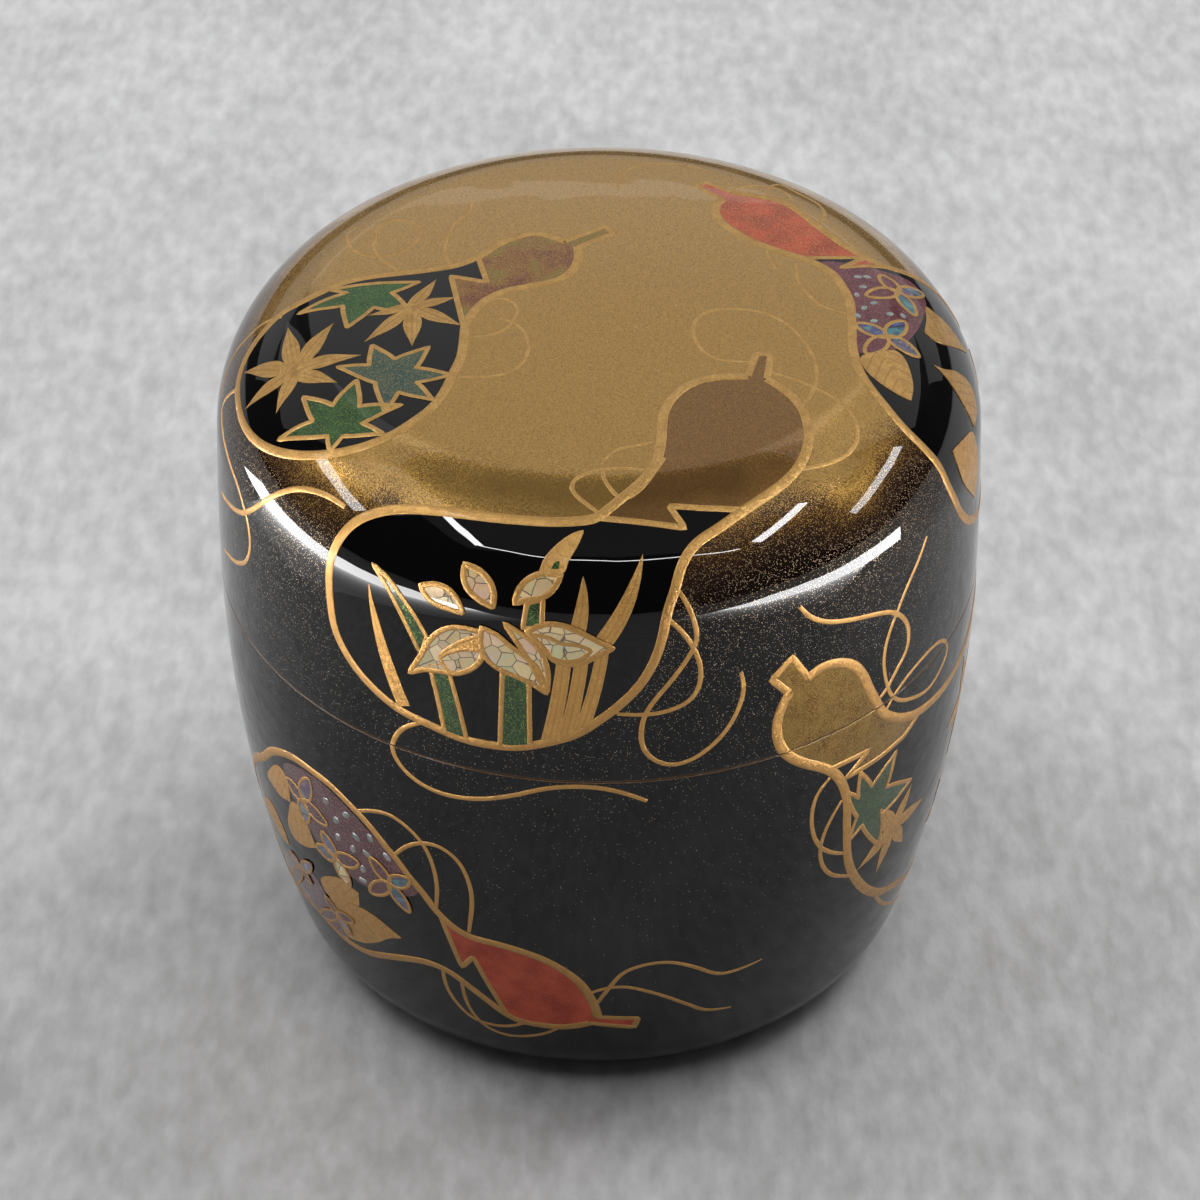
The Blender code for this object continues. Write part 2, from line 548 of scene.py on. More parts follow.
@dataclass
class Field:
    """A region of the surface inside a closed line, whose points lie close together."""

    form: TurnedForm
    edge: Points

    def __post_init__(self) -> None:
        """Unrolls the edge into bearing and slope."""
        middle = self.edge.mean(0)
        self.bearing = math.atan2(middle[0], -middle[1])
        self.rolled = self.unroll(self.edge)

    def unroll(self, points: Points) -> Points:
        """The points as bearing from the field's middle and slope of the surface."""
        normals = self.form.distance(points)[1]
        turn = np.arctan2(points[:, 0], -points[:, 1]) - self.bearing
        turn = (turn + math.pi) % (2 * math.pi) - math.pi
        return np.stack([turn, np.arcsin(np.clip(normals[:, 2], -1.0, 1.0))], 1)

    def holds(self, points: Points) -> Points:
        """One truth value for each point: whether it lies inside."""
        rolled = self.unroll(points)
        low, high = self.rolled.min(0), self.rolled.max(0)
        near = ((rolled >= low) & (rolled <= high)).all(1)
        held = np.zeros(len(points), bool)
        held[near] = inside_polygon(rolled[near], self.rolled)
        return held

    def depth(self, points: Points, reach: float = 0.0015) -> Points:
        """How deep points lie inside, in millimetres.

        Args:
            points: the points, one a row.
            reach: how far from the edge the depth is measured; past it the depth keeps that value.

        Returns:
            The depths, negative outside.
        """
        depth = np.where(self.holds(points), reach, -reach)
        low, high = self.edge.min(0) - reach, self.edge.max(0) + reach
        near = np.where(((points > low) & (points < high)).all(1))[0]
        for part in np.array_split(near, max(1, len(near) // 4000)):
            if len(part):
                gaps = np.linalg.norm(points[part, None, :] - self.edge[None, :, :], axis=2).min(1)
                depth[part] = np.sign(depth[part]) * np.minimum(gaps, reach)
        return depth / MM


class Stencil:
    """A flat sheet held against the surface, on which a figure is laid out in millimetres."""

    def __init__(self, form: TurnedForm, points: Points) -> None:
        """Holds the sheet against the middle of some surface points."""
        self.form = form
        anchor, normal = form.settle(points.mean(0)[None])
        self.anchor, self.normal = anchor[0], normal[0]
        side = np.cross([0.0, 0.0, 1.0], self.normal)
        if np.linalg.norm(side) < 1e-6:
            side = np.array([1.0, 0.0, 0.0])
        self.side = side / np.linalg.norm(side)
        self.up = np.cross(self.normal, self.side)

    def flatten(self, points: Points) -> Points:
        """Surface points as places on the sheet."""
        gap = (points - self.anchor) / MM
        return np.stack([gap @ self.side, gap @ self.up], 1)

    def press(self, places: Points) -> tuple[Points, Points]:
        """Places on the sheet as surface points and their normals."""
        points = self.anchor + MM * (places[:, :1] * self.side + places[:, 1:] * self.up)
        for _ in range(12):
            off, normals = self.form.distance(points)
            facing = np.maximum(normals @ self.normal, 0.15)
            points = points - self.normal * (off / facing)[:, None]
        return self.form.settle(points)


class Figure:
    """A filled figure of the decoration."""

    paint: Paint
    rim: float

    def spots(self) -> list[Spot]:
        """The places that the figure is laid out from."""
        raise NotImplementedError

    def shape(self, places: Points) -> Points:
        """The figure's closed outline on the sheet, from its places there."""
        raise NotImplementedError

    def across(self, places: Points, points: Points) -> Points:
        """How far points of the sheet lie beside the figure's veins, in millimetres."""
        return np.full(len(points), 9.0)


class LeafForm(Enum):
    """How a leaf or petal widens from its base to its tip."""

    SWORD = "sword"
    LENS = "lens"
    OVAL = "oval"
    PETAL = "petal"
    STEM = "stem"


@dataclass
class Leaf(Figure):
    """A leaf, blade, stem or petal between two places.

    Its greatest width, the bend of its middle to the left and its rim's width are in millimetres.
    """

    base: Spot
    tip: Spot
    width: float
    paint: Paint = Paint.GOLD
    form: LeafForm = LeafForm.LENS
    bend: float = 0.0
    rim: float = 0.0

    def spots(self) -> list[Spot]:
        """The base and the tip."""
        return [self.base, self.tip]

    def spine(self, places: Points, t: Points) -> tuple[Points, Points]:
        """The middle line.

        Args:
            places: the base and the tip on the sheet.
            t: shares of the way from one to the other.

        Returns:
            The line's points and the directions to its left.
        """
        axis = places[1] - places[0]
        length = np.linalg.norm(axis)
        along = axis / length
        left = np.array([-along[1], along[0]])
        middle = places[0] + t[:, None] * axis + self.bend * (4 * t * (1 - t))[:, None] * left
        slope = self.bend * 4 * (1 - 2 * t) / length
        side = left - slope[:, None] * along
        return middle, side / np.linalg.norm(side, axis=1)[:, None]

    def shape(self, places: Points) -> Points:
        """The closed outline: up one side and down the other."""
        t = np.linspace(0.0, 1.0, 25)
        middle, side = self.spine(places, t)
        half = self.width / 2 * {
            LeafForm.SWORD: 1 - t**2.4,
            LeafForm.LENS: np.sin(math.pi * t) ** 0.9,
            LeafForm.OVAL: np.sin(math.pi * t**0.75) ** 0.7,
            LeafForm.PETAL: np.sin(math.pi * t**0.9) ** 0.62,
            LeafForm.STEM: 1 - 0.15 * t,
        }[self.form]
        first, second = middle + side * half[:, None], middle - side * half[:, None]
        ring = np.vstack([first, second[::-1]])
        gaps = np.linalg.norm(ring - np.roll(ring, 1, axis=0), axis=1)
        return ring[gaps > 1e-4]

    def across(self, places: Points, points: Points) -> Points:
        """Distances from the middle line, so that the strokes run lengthwise."""
        t = np.linspace(0.0, 1.0, 60)
        middle, side = self.spine(places, t)
        gaps = points[:, None, :] - middle[None]
        nearest = np.linalg.norm(gaps, axis=2).argmin(1)
        rows = np.arange(len(points))
        return (gaps[rows, nearest] * side[nearest]).sum(1)


@dataclass
class MapleLeaf(Figure):
    """A maple leaf with one pointed lobe to each tip.

    The rim's width is in millimetres. The notches between the lobes, and how far the lobes swell, are
    shares of their length.
    """

    centre: Spot
    tips: list[Spot]
    paint: Paint = Paint.GOLD
    rim: float = 0.0
    notch: float = 0.30
    fullness: float = 0.055

    def spots(self) -> list[Spot]:
        """The centre and the tips."""
        return [self.centre, *self.tips]

    def parting(self, turn: float, gap: float, length: float) -> Points:
        """Where two lobes part, by its direction, the angle between them and the shorter one's length."""
        reach = self.notch * length * (1.0 if gap < 1.6 else 0.55)
        return reach * np.array([math.cos(turn), math.sin(turn)])

    def shape(self, places: Points) -> Points:
        """The closed outline, lobe by lobe, each fullest a third of the way out."""
        centre = places[0]
        arms = places[1:] - centre
        arms = arms[np.argsort(np.arctan2(arms[:, 1], arms[:, 0]))]
        angles = np.arctan2(arms[:, 1], arms[:, 0])
        lengths = np.linalg.norm(arms, axis=1)
        ring: list[Points] = []
        for i, arm in enumerate(arms):
            after = (i + 1) % len(arms)
            gap = (angles[after] - angles[i]) % (2 * math.pi)
            notch = self.parting(angles[i] + gap / 2, gap, min(lengths[i], lengths[after]))
            gap = (angles[i] - angles[i - 1]) % (2 * math.pi)
            before = self.parting(angles[i] - gap / 2, gap, min(lengths[i], lengths[i - 1]))
            for start, end, sign in ((before, arm, -1.0), (arm, notch, 1.0)):
                side = np.array([-arm[1], arm[0]]) / lengths[i] * sign
                for t in np.linspace(0.0, 1.0, 9)[:-1]:
                    out = t if sign < 0 else 1 - t
                    fullness = self.fullness * lengths[i] * 6.75 * out * (1 - out) ** 2
                    ring.append(centre + start + t * (end - start) + fullness * side)
        return np.array(ring)

    def across(self, places: Points, points: Points) -> Points:
        """Distances from the middle of the lobe that each point is in."""
        arms = places[1:] - places[0]
        unit = arms / np.linalg.norm(arms, axis=1)[:, None]
        gaps = points - places[0]
        lobe = (gaps @ unit.T).argmax(1)
        left = np.stack([-unit[:, 1], unit[:, 0]], 1)
        return (gaps * left[lobe]).sum(1)


@dataclass
class Patch(Figure):
    """A filled area with an outline of its own, smooth but for its corners.

    The corners, and the two ends of a leaf's midrib, are given by their numbers in the outline.
    """

    edge: list[Spot]
    paint: Paint
    rim: float = 0.0
    corners: tuple[int, ...] = ()
    midrib: tuple[int, int] | None = None

    def spots(self) -> list[Spot]:
        """The places round the outline."""
        return self.edge

    def shape(self, places: Points) -> Points:
        """The closed outline through the places."""
        if not self.corners:
            return spaced(curved(places, True), 0.35, True)
        ring = np.roll(places, -self.corners[0], axis=0)
        ring = np.vstack([ring, ring[:1]])
        cuts = [c - self.corners[0] for c in self.corners] + [len(places)]
        return np.vstack([curved(ring[a : b + 1], False)[:-1] for a, b in zip(cuts, cuts[1:])])

    def across(self, places: Points, points: Points) -> Points:
        """Numbers that rise along the midrib and away from it, so that the veins slant to the tip."""
        if self.midrib is None:
            return super().across(places, points)
        base, tip = places[self.midrib[0]], places[self.midrib[1]]
        along = (tip - base) / np.linalg.norm(tip - base)
        gaps = points - base
        beside = np.abs(gaps[:, 0] * along[1] - gaps[:, 1] * along[0])
        return 9.0 + 0.36 * (gaps @ along - 0.9 * beside)


def flower(
    centre: Spot, tips: list[Spot], paints: list[Paint], width: float, rim: float = 0.34
) -> list[Leaf]:
    """A four-petalled flower.

    Args:
        centre: where the petals meet.
        tips: where they end.
        paints: the petals' finishes.
        width: their width in millimetres.
        rim: the width of their gold rims in millimetres.

    Returns:
        The petals.
    """
    return [Leaf(centre, tip, width, paint, LeafForm.PETAL, rim=rim) for tip, paint in zip(tips, paints)]


@dataclass
class Plate:
    """A thin closed plate that lies on the surface, with one number a point for the strokes in gold."""

    points: Points
    faces: list[tuple[int, ...]]
    across: Points


@dataclass
class Brush:
    """Lays lines and plates on the surface."""

    form: TurnedForm
    view: PhotoView
    step: float = 0.3
    mesh_step: float = 0.55
    sink: float = 0.02
    first_lift: float = 0.022
    next_lift: float = 0.004

    def line(
        self, spots: list[Spot], width: float, closed: bool = False, sharp: bool = False,
        start: float = 1.0, end: float = 1.0,
    ) -> Path:
        """A line through places.

        Args:
            spots: the places.
            width: its width in millimetres.
            closed: whether its end meets its start.
            sharp: whether it turns in corners.
            start: the share of the width at its start.
            end: the share at its end.

        Returns:
            The line.
        """
        points = self.view.find(spots)
        if not sharp:
            points = curved(points, closed)
        points = spaced(points, self.step * MM, closed)
        if not sharp:
            points = self.smoothed(points, closed)
        return self.laid(points, width, closed, start, end)

    def smoothed(self, points: Points, closed: bool, rounds: int = 6) -> Points:
        """The points after some rounds of easing each towards its neighbours."""
        for _ in range(rounds):
            before, after = np.roll(points, 1, axis=0), np.roll(points, -1, axis=0)
            eased = (before + 2 * points + after) / 4
            if not closed:
                eased[0], eased[-1] = points[0], points[-1]
            points = eased
        return points

    def lift(self, order: int) -> float:
        """How far a plate's top stands off the surface, by how many plates may lie under it."""
        return (self.first_lift + self.next_lift * order) * MM

    def laid(self, points: Points, width: float, closed: bool, start: float = 1.0, end: float = 1.0) -> Path:
        """A line from points close together; the arguments are those of line."""
        settled, normals = self.form.settle(points)
        share = np.ones(len(points))
        reach = min(12, len(points) // 2)
        if not closed and reach > 1:
            ramp = np.sin(np.linspace(0.0, UP, reach))
            share[:reach] = start + (1 - start) * ramp
            share[-reach:] = end + (1 - end) * ramp[::-1]
        return Path(settled, normals, share * width * MM / 2, closed)

    def rims(self, figure: Figure, keep: Field, order: int) -> list[Path]:
        """The gold rim of a figure, as high as its plate and cut off where it leaves the field."""
        places, stencil = self.laid_out(figure)
        ring = stencil.press(spaced(figure.shape(places), 0.22, True))[0]
        held = keep.holds(ring)
        if not held.any():
            return []
        if held.all():
            paths = [self.laid(ring, figure.rim, True)]
        else:
            first = int(np.argmin(held))
            ring, held = np.roll(ring, -first, axis=0), np.roll(held, -first)
            changes = np.flatnonzero(np.diff(np.r_[0, held.astype(int), 0]))
            runs = [ring[a:b] for a, b in zip(changes[::2], changes[1::2])]
            paths = [self.laid(run, figure.rim, False) for run in runs if len(run) > 2]
        for path in paths:
            path.points = path.points + path.normals * self.lift(order)
        return paths

    def laid_out(self, figure: Figure) -> tuple[Points, Stencil]:
        """A figure's places on its sheet, and the sheet."""
        points = self.view.find(figure.spots())
        stencil = Stencil(self.form, points)
        return stencil.flatten(points), stencil

    def plate(self, figure: Figure, keep: Field | None, order: int) -> Plate | None:
        """A figure's plate.

        Args:
            figure: the figure.
            keep: the field that cuts it off, or none.
            order: how many plates lie under it at most.

        Returns:
            The plate, or none where nothing of it is left.
        """
        places, stencil = self.laid_out(figure)
        ring = spaced(figure.shape(places), 0.3, True)
        low, high = ring.min(0), ring.max(0)
        steps = [np.arange(a, b, self.mesh_step) for a, b in zip(low, high)]
        grid = np.stack(np.meshgrid(*steps), 2).reshape(-1, 2)
        gap = np.linalg.norm(grid[:, None] - ring[None], axis=2).min(1)
        grid = grid[inside_polygon(grid, ring) & (gap > 0.2)]
        count = len(ring)
        flat = delaunay_2d_cdt(
            [Vector(p) for p in np.vstack([ring, grid])], [(i, (i + 1) % count) for i in range(count)],
            [list(range(count))], 1, 1e-4,
        )
        flat_points = np.array([tuple(p) for p in flat[0]])
        points, normals = stencil.press(flat_points)
        faces = [tuple(f) for f in flat[2]]
        if keep is not None:
            middles = np.array([points[list(f)].mean(0) for f in faces]).reshape(-1, 3)
            faces = [f for f, held in zip(faces, keep.holds(middles)) if held]
        if not faces:
            return None
        return self.thickened(points, normals, faces, figure.across(places, flat_points), order)

    def thickened(
        self, points: Points, normals: Points, faces: list[tuple[int, ...]], across: Points, order: int
    ) -> Plate:
        """Closes a sheet of faces into a thin plate, half sunk into the surface."""
        used = sorted({i for f in faces for i in f})
        new = {old: i for i, old in enumerate(used)}
        points, normals, across = points[used], normals[used], across[used]
        turned = []
        for f in faces:
            f = tuple(new[i] for i in f)
            a, b, c = points[list(f[:3])]
            turned.append(f if np.cross(b - a, c - a) @ normals[f[0]] > 0 else f[::-1])
        lift = self.lift(order)
        count = len(points)
        edges: dict[tuple[int, int], int] = {}
        for f in turned:
            for a, b in zip(f, f[1:] + f[:1]):
                edges[(a, b)] = edges.get((a, b), 0) + 1
        sides = [(b, a, a + count, b + count) for a, b in edges if (b, a) not in edges]
        unders = [tuple(i + count for i in f[::-1]) for f in turned]
        both = np.vstack([points + normals * lift, points - normals * self.sink * MM])
        return Plate(both, turned + unders + sides, np.r_[across, across])


class Graph:
    """Writes the nodes of a tree."""

    def __init__(self, tree: bpy.types.NodeTree) -> None:
        """Takes the tree to write in."""
        self.tree = tree

    def add(self, kind: str, inputs: dict | None = None, **settings: object) -> bpy.types.Node:
        """Adds a node.

        Args:
            kind: its Blender type.
            inputs: a value or another node's socket for each of its inputs, by name or number.
            settings: its own properties.

        Returns:
            The node.
        """
        node = self.tree.nodes.new(kind)
        for name, value in settings.items():
            setattr(node, name, value)
        self.feed(node, inputs or {})
        return node

    def first(self, kind: str, inputs: dict | None = None, **settings: object) -> Socket:
        """The first output of a new node."""
        return self.add(kind, inputs, **settings).outputs[0]

    def feed(self, node: bpy.types.Node, inputs: dict) -> None:
        """Sets or links a node's inputs, by name or number."""
        for key, value in inputs.items():
            if isinstance(value, Socket):
                self.tree.links.new(value, node.inputs[key])
            else:
                node.inputs[key].default_value = value

    def math(self, operation: str, *values: Value) -> Socket:
        """The result of a Math node."""
        return self.add("ShaderNodeMath", dict(enumerate(values)), operation=operation).outputs[0]

    def times(self, first: Value, second: Value) -> Socket:
        """The product of two numbers."""
        return self.math("MULTIPLY", first, second)

    def vector(self, operation: str, *values: Place) -> Socket:
        """The vector result of a Vector Math node."""
        return self.add("ShaderNodeVectorMath", dict(enumerate(values)), operation=operation).outputs[0]

    def colour(self, share: Value, first: Place, second: Place) -> Socket:
        """A colour between two, by a share."""
        return self.add("ShaderNodeMix", {0: share, 6: first, 7: second}, data_type="RGBA").outputs[2]

    def between(self, share: Value, first: Value, second: Value) -> Socket:
        """A number between two, by a share."""
        return self.add("ShaderNodeMix", {0: share, 2: first, 3: second}, data_type="FLOAT").outputs[0]

    def ranged(
        self, value: Value, low: float, high: float, to_low: float = 0.0, to_high: float = 1.0
    ) -> Socket:
        """A number carried from one range to another, and kept inside it."""
        inputs = {"Value": value, "From Min": low, "From Max": high, "To Min": to_low, "To Max": to_high}
        return self.add("ShaderNodeMapRange", inputs).outputs["Result"]

    def ramp(self, value: Value, stops: tuple[tuple[float, Colour], ...]) -> Socket:
        """A colour picked along a ramp of stops."""
        node = self.add("ShaderNodeValToRGB", {0: value})
        elements = node.color_ramp.elements
        while len(elements) < len(stops):
            elements.new(0.5)
        for element, (place, colour) in zip(elements, stops):
            element.position = place
            element.color = (*colour, 1.0)
        return node.outputs[0]

    def place(self) -> Socket:
        """The place on the object, in metres."""
        return self.add("ShaderNodeTexCoord").outputs["Object"]

    def normal(self) -> Socket:
        """The surface's own normal."""
        return self.add("ShaderNodeNewGeometry").outputs["Normal"]

    def noise(self, place: Socket, scale: float, detail: float = 2.0) -> Socket:
        """Soft noise from 0 to 1."""
        return self.add("ShaderNodeTexNoise", {"Vector": place, "Scale": scale, "Detail": detail}).outputs[0]

    def grains(self, place: Socket, size: float) -> tuple[Socket, Socket]:
        """Cells of a size in metres: the distance from their middles and a random colour for each."""
        node = self.add("ShaderNodeTexVoronoi", {"Vector": place, "Scale": 1.0 / size})
        return node.outputs["Distance"], node.outputs["Color"]

    def tilted(self, random: Socket, amount: Value) -> Socket:
        """The surface's normal, tilted by a random colour."""
        lean = self.vector("SUBTRACT", random, (0.5, 0.5, 0.5))
        lean = self.add("ShaderNodeVectorMath", {0: lean, "Scale": amount}, operation="SCALE").outputs[0]
        return self.vector("NORMALIZE", self.vector("ADD", self.normal(), lean))

    def attribute(self, name: str) -> Socket:
        """A number that the mesh carries."""
        return self.add("ShaderNodeAttribute", attribute_name=name).outputs["Fac"]


def rgba(colour: Colour) -> tuple[float, float, float, float]:
    """A colour with full opacity."""
    return (*colour, 1.0)


class Finish:
    """A finish that writes its own material."""

    name: str

    def dress(self, graph: Graph, shader: bpy.types.Node) -> None:
        """Writes the finish into a material's nodes."""
        raise NotImplementedError

    def material(self) -> bpy.types.Material:
        """The finish's material, made once."""
        found = bpy.data.materials.get(self.name)
        if found:
            return found
        material = bpy.data.materials.new(self.name)
        material.use_nodes = True
        graph = Graph(material.node_tree)
        self.dress(graph, material.node_tree.nodes["Principled BSDF"])
        return material


@dataclass(frozen=True)
class GroundColour:
    """What lies inside a part of a gourd.

    Dust is the share that gold dust covers, tint its colour there, and stray how much of the dust
    outside falls on it too.
    """

    colour: Colour
    dust: float
    tint: Colour
    stray: float = 0.0


@dataclass(frozen=True)
class DustedLacquer(Finish):
    """Polished black lacquer with gold dust that is dense on the top and thins out down the side.

    The dust's share and the lacquer's colour are given by height. Stray gold is the colour of grains
    that lie far apart, paled as a painted glint. The seam colour is a lighter brown line along the seam:
    partly worn lacquer, partly a painted highlight of the rounded seam edge.
    """

    name: str = "dusted_lacquer"
    grain: float = 0.00006
    dust: tuple[Pair, ...] = (
        (0.020, 0.001), (0.036, 0.007), (0.046, 0.032), (0.052, 0.065), (0.056, 0.09), (0.0593, 0.14),
        (0.0612, 0.30), (0.0626, 0.58), (0.0642, 0.78),
    )
    base: tuple[tuple[float, Colour], ...] = (
        (0.050, (0.0016, 0.0015, 0.0017)), (0.0575, (0.011, 0.0054, 0.0042)), (0.0602, (0.034, 0.017, 0.010)),
        (0.0615, (0.070, 0.036, 0.015)), (0.0628, (0.18, 0.097, 0.027)), (0.0642, (0.31, 0.174, 0.046)),
    )
    light_gold: Colour = (0.58, 0.350, 0.096)
    deep_gold: Colour = (0.40, 0.222, 0.050)
    # Grains where the dust lies far apart: gold, paled as a painted glint.
    stray_gold_and_glint: Colour = (0.85, 0.70, 0.50)
    # Lighter brown line at the seam: worn lacquer, and a painted highlight of the rounded edge.
    seam_wear_and_highlight: Colour = (0.24, 0.14, 0.070)
    seam: float = 0.0404
    tilt: float = 0.11
    grounds: tuple[tuple[Ground, GroundColour], ...] = (
        (Ground.BROWN, GroundColour((0.175, 0.086, 0.024), 0.55, (0.29, 0.150, 0.040))),
        (Ground.OLD_GOLD, GroundColour((0.31, 0.175, 0.032), 0.50, (0.40, 0.235, 0.045))),
        (Ground.AUTUMN, GroundColour((0.10, 0.050, 0.02), 0.36, (0.42, 0.26, 0.075))),
        (Ground.VERMILION, GroundColour((0.56, 0.070, 0.022), 0.05, (0.50, 0.24, 0.08), 0.42)),
        (Ground.BLACK, GroundColour((0.0016, 0.0015, 0.0017), 0.0, (0.5, 0.4, 0.2))),
    )
    low: float = 0.020
    high: float = 0.066
    wander: float = 0.0012
    soft_edge: float = 0.04
    autumn: tuple[tuple[float, Colour], ...] = (
        (0.34, (0.16, 0.040, 0.022)), (0.47, (0.26, 0.105, 0.026)), (0.60, (0.23, 0.155, 0.022)),
    )
    cloudy: Colour = (0.62, 0.48, 0.40)
    paler: float = 1.25
    seam_line: Pair = (0.00008, 0.00017)
    metallic: Pair = (0.60, 0.85)
    roughness: Pair = (0.36, 0.18)
    coat_roughness: float = 0.015
    coat_ior: float = 1.40

    def dress(self, graph: Graph, shader: bpy.types.Node) -> None:
        """Writes the ground, the dust and the clear polished coat."""
        place = graph.place()
        height = graph.add("ShaderNodeSeparateXYZ", {0: place}).outputs["Z"]
        uneven = graph.ranged(graph.noise(place, 130.0), 0.3, 0.7, -self.wander, self.wander)
        share = graph.ranged(graph.math("ADD", height, uneven), self.low, self.high)

        def at(level: float) -> float:
            """The place of a height on the ramps."""
            return (level - self.low) / (self.high - self.low)

        dust = graph.ramp(share, tuple((at(z), (d, d, d)) for z, d in self.dust))
        base = graph.ramp(share, tuple((at(z), c) for z, c in self.base))
        distance, random = graph.grains(place, self.grain)
        parts = graph.add("ShaderNodeSeparateColor", {0: random})
        gold = graph.colour(parts.outputs[1], rgba(self.deep_gold), rgba(self.light_gold))
        # Sparse grains take the pale colour: gold, paled as a painted glint.
        gold = graph.colour(graph.ranged(dust, 0.05, 0.20), rgba(self.stray_gold_and_glint), gold)
        thick = graph.ranged(dust, 0.45, 0.76)
        cloud = graph.noise(place, 420.0)
        for ground, look in self.grounds:
            inside = graph.ranged(graph.attribute(ground.value), -self.soft_edge, self.soft_edge)
            colour = rgba(look.colour)
            if ground is Ground.AUTUMN:
                colour = graph.ramp(cloud, self.autumn)
            elif ground in (Ground.VERMILION, Ground.OLD_GOLD):
                deeper = tuple(share_left * c for share_left, c in zip(self.cloudy, look.colour))
                colour = graph.colour(graph.ranged(cloud, 0.35, 0.65), rgba(deeper), rgba(look.colour))
            base = graph.colour(inside, base, colour)
            own = look.dust
            if look.stray:
                own = graph.math("ADD", look.dust, graph.times(dust, look.stray))
            dust = graph.between(inside, dust, own)
            paler = tuple(self.paler * c for c in look.tint)
            tinted = graph.colour(parts.outputs[1], rgba(look.tint), rgba(paler))
            gold = graph.colour(inside, gold, tinted)
        # A lighter brown line along the seam: partly worn lacquer, partly a painted highlight of the rounded
        # edge.
        from_seam = graph.math("ABSOLUTE", graph.math("SUBTRACT", height, self.seam))
        base = graph.colour(graph.ranged(from_seam, *self.seam_line), rgba(self.seam_wear_and_highlight), base)
        grain = graph.math("LESS_THAN", parts.outputs[0], dust)
        round_grain = graph.math("LESS_THAN", distance, graph.ranged(dust, 0.2, 0.8, 0.45, 0.85))
        grain = graph.times(grain, round_grain)
        ripple = graph.add(
            "ShaderNodeBump", {"Strength": 0.10, "Distance": 0.0002, "Height": graph.noise(place, 260.0, 1.0)}
        )
        graph.feed(shader, {
            "Base Color": graph.colour(grain, base, gold),
            "Metallic": graph.math("MAXIMUM", graph.times(grain, graph.between(thick, *self.metallic)),
                                   graph.times(thick, 0.75)),
            "Roughness": graph.between(thick, *self.roughness),
            "Normal": graph.tilted(random, graph.times(grain, self.tilt)),
            "Specular IOR Level": 0.0,
            "Coat Weight": 1.0,
            "Coat Roughness": self.coat_roughness,
            "Coat IOR": self.coat_ior,
            "Coat Normal": ripple.outputs[0],
        })


@dataclass(frozen=True)
class GoldPowder(Finish):
    """Burnished gold powder, as in the raised lines and in the gold leaves.

    It is dull where it is worn, and paler on the caddy's top. Its engraved strokes lie a pitch apart,
    in millimetres.
    """

    name: str = "gold_line"
    bright: Colour = (0.54, 0.295, 0.084)
    dull: Colour = (0.31, 0.160, 0.045)
    top_colour: Colour = (0.86, 0.52, 0.17)
    strokes: float = 0.0
    pitch: float = 0.26
    grain: float = 0.00008
    top: Pair = (0.058, 0.064)
    metallic: float = 0.82
    roughness: Pair = (0.50, 0.38)
    tilt: float = 0.42

    def dress(self, graph: Graph, shader: bpy.types.Node) -> None:
        """Writes the powder's grain, its worn places and the strokes."""
        place = graph.place()
        _, random = graph.grains(place, self.grain)
        worn = graph.ranged(graph.noise(place, 900.0, 3.0), 0.30, 0.72)
        parts = graph.add("ShaderNodeSeparateColor", {0: random})
        speckle = graph.ranged(parts.outputs[0], 0.0, 1.0, 0.45, 1.0)
        share = graph.times(speckle, graph.between(worn, 0.6, 1.0))
        height = graph.add("ShaderNodeSeparateXYZ", {0: place}).outputs["Z"]
        # The lines turn paler towards the caddy's top, by height alone.
        bright = graph.colour(graph.ranged(height, *self.top), rgba(self.bright), rgba(self.top_colour))
        if self.strokes:
            across = graph.attribute("across")
            wave = graph.math("SINE", graph.times(across, math.pi / self.pitch))
            wave = graph.math("ABSOLUTE", wave)
            vein = graph.ranged(graph.math("ABSOLUTE", across), 0.03, 0.10)
            stroke = graph.times(graph.ranged(wave, 0.10, 0.42), vein)
            share = graph.times(share, graph.between(self.strokes, 1.0, stroke))
        graph.feed(shader, {
            "Base Color": graph.colour(share, rgba(self.dull), bright),
            "Metallic": self.metallic,
            "Roughness": graph.between(worn, *self.roughness),
            "Normal": graph.tilted(random, self.tilt),
            "Specular IOR Level": 0.5,
            "Coat Weight": 0.25,
            "Coat Roughness": 0.12,
        })


@dataclass(frozen=True)
class ColouredPowder(Finish):
    """Coloured powder set in lacquer and polished flush, with a share of brighter grains."""

    name: str = "green"
    first: Colour = (0.007, 0.036, 0.009)
    second: Colour = (0.028, 0.100, 0.019)
    glint: Colour = (0.12, 0.17, 0.03)
    glints: float = 0.20
    grain: float = 0.00007
    metallic: Pair = (0.15, 0.6)
    roughness: Pair = (0.55, 0.38)
    tilt: float = 0.4
    coat_roughness: float = 0.03
    coat_ior: float = 1.38

    def dress(self, graph: Graph, shader: bpy.types.Node) -> None:
        """Writes the two colours, the bright grains and the coat."""
        place = graph.place()
        _, random = graph.grains(place, self.grain)
        parts = graph.add("ShaderNodeSeparateColor", {0: random})
        cloud = graph.ranged(graph.noise(place, 700.0), 0.3, 0.7)
        share = graph.times(cloud, graph.ranged(parts.outputs[1], 0.0, 1.0, 0.5, 1.0))
        bright = graph.math("LESS_THAN", parts.outputs[0], self.glints)
        colour = graph.colour(share, rgba(self.first), rgba(self.second))
        graph.feed(shader, {
            "Base Color": graph.colour(bright, colour, rgba(self.glint)),
            "Metallic": graph.between(bright, *self.metallic),
            "Roughness": graph.between(bright, *self.roughness),
            "Normal": graph.tilted(random, self.tilt),
            "Specular IOR Level": 0.2,
            "Coat Weight": 1.0,
            "Coat Roughness": self.coat_roughness,
            "Coat IOR": self.coat_ior,
        })


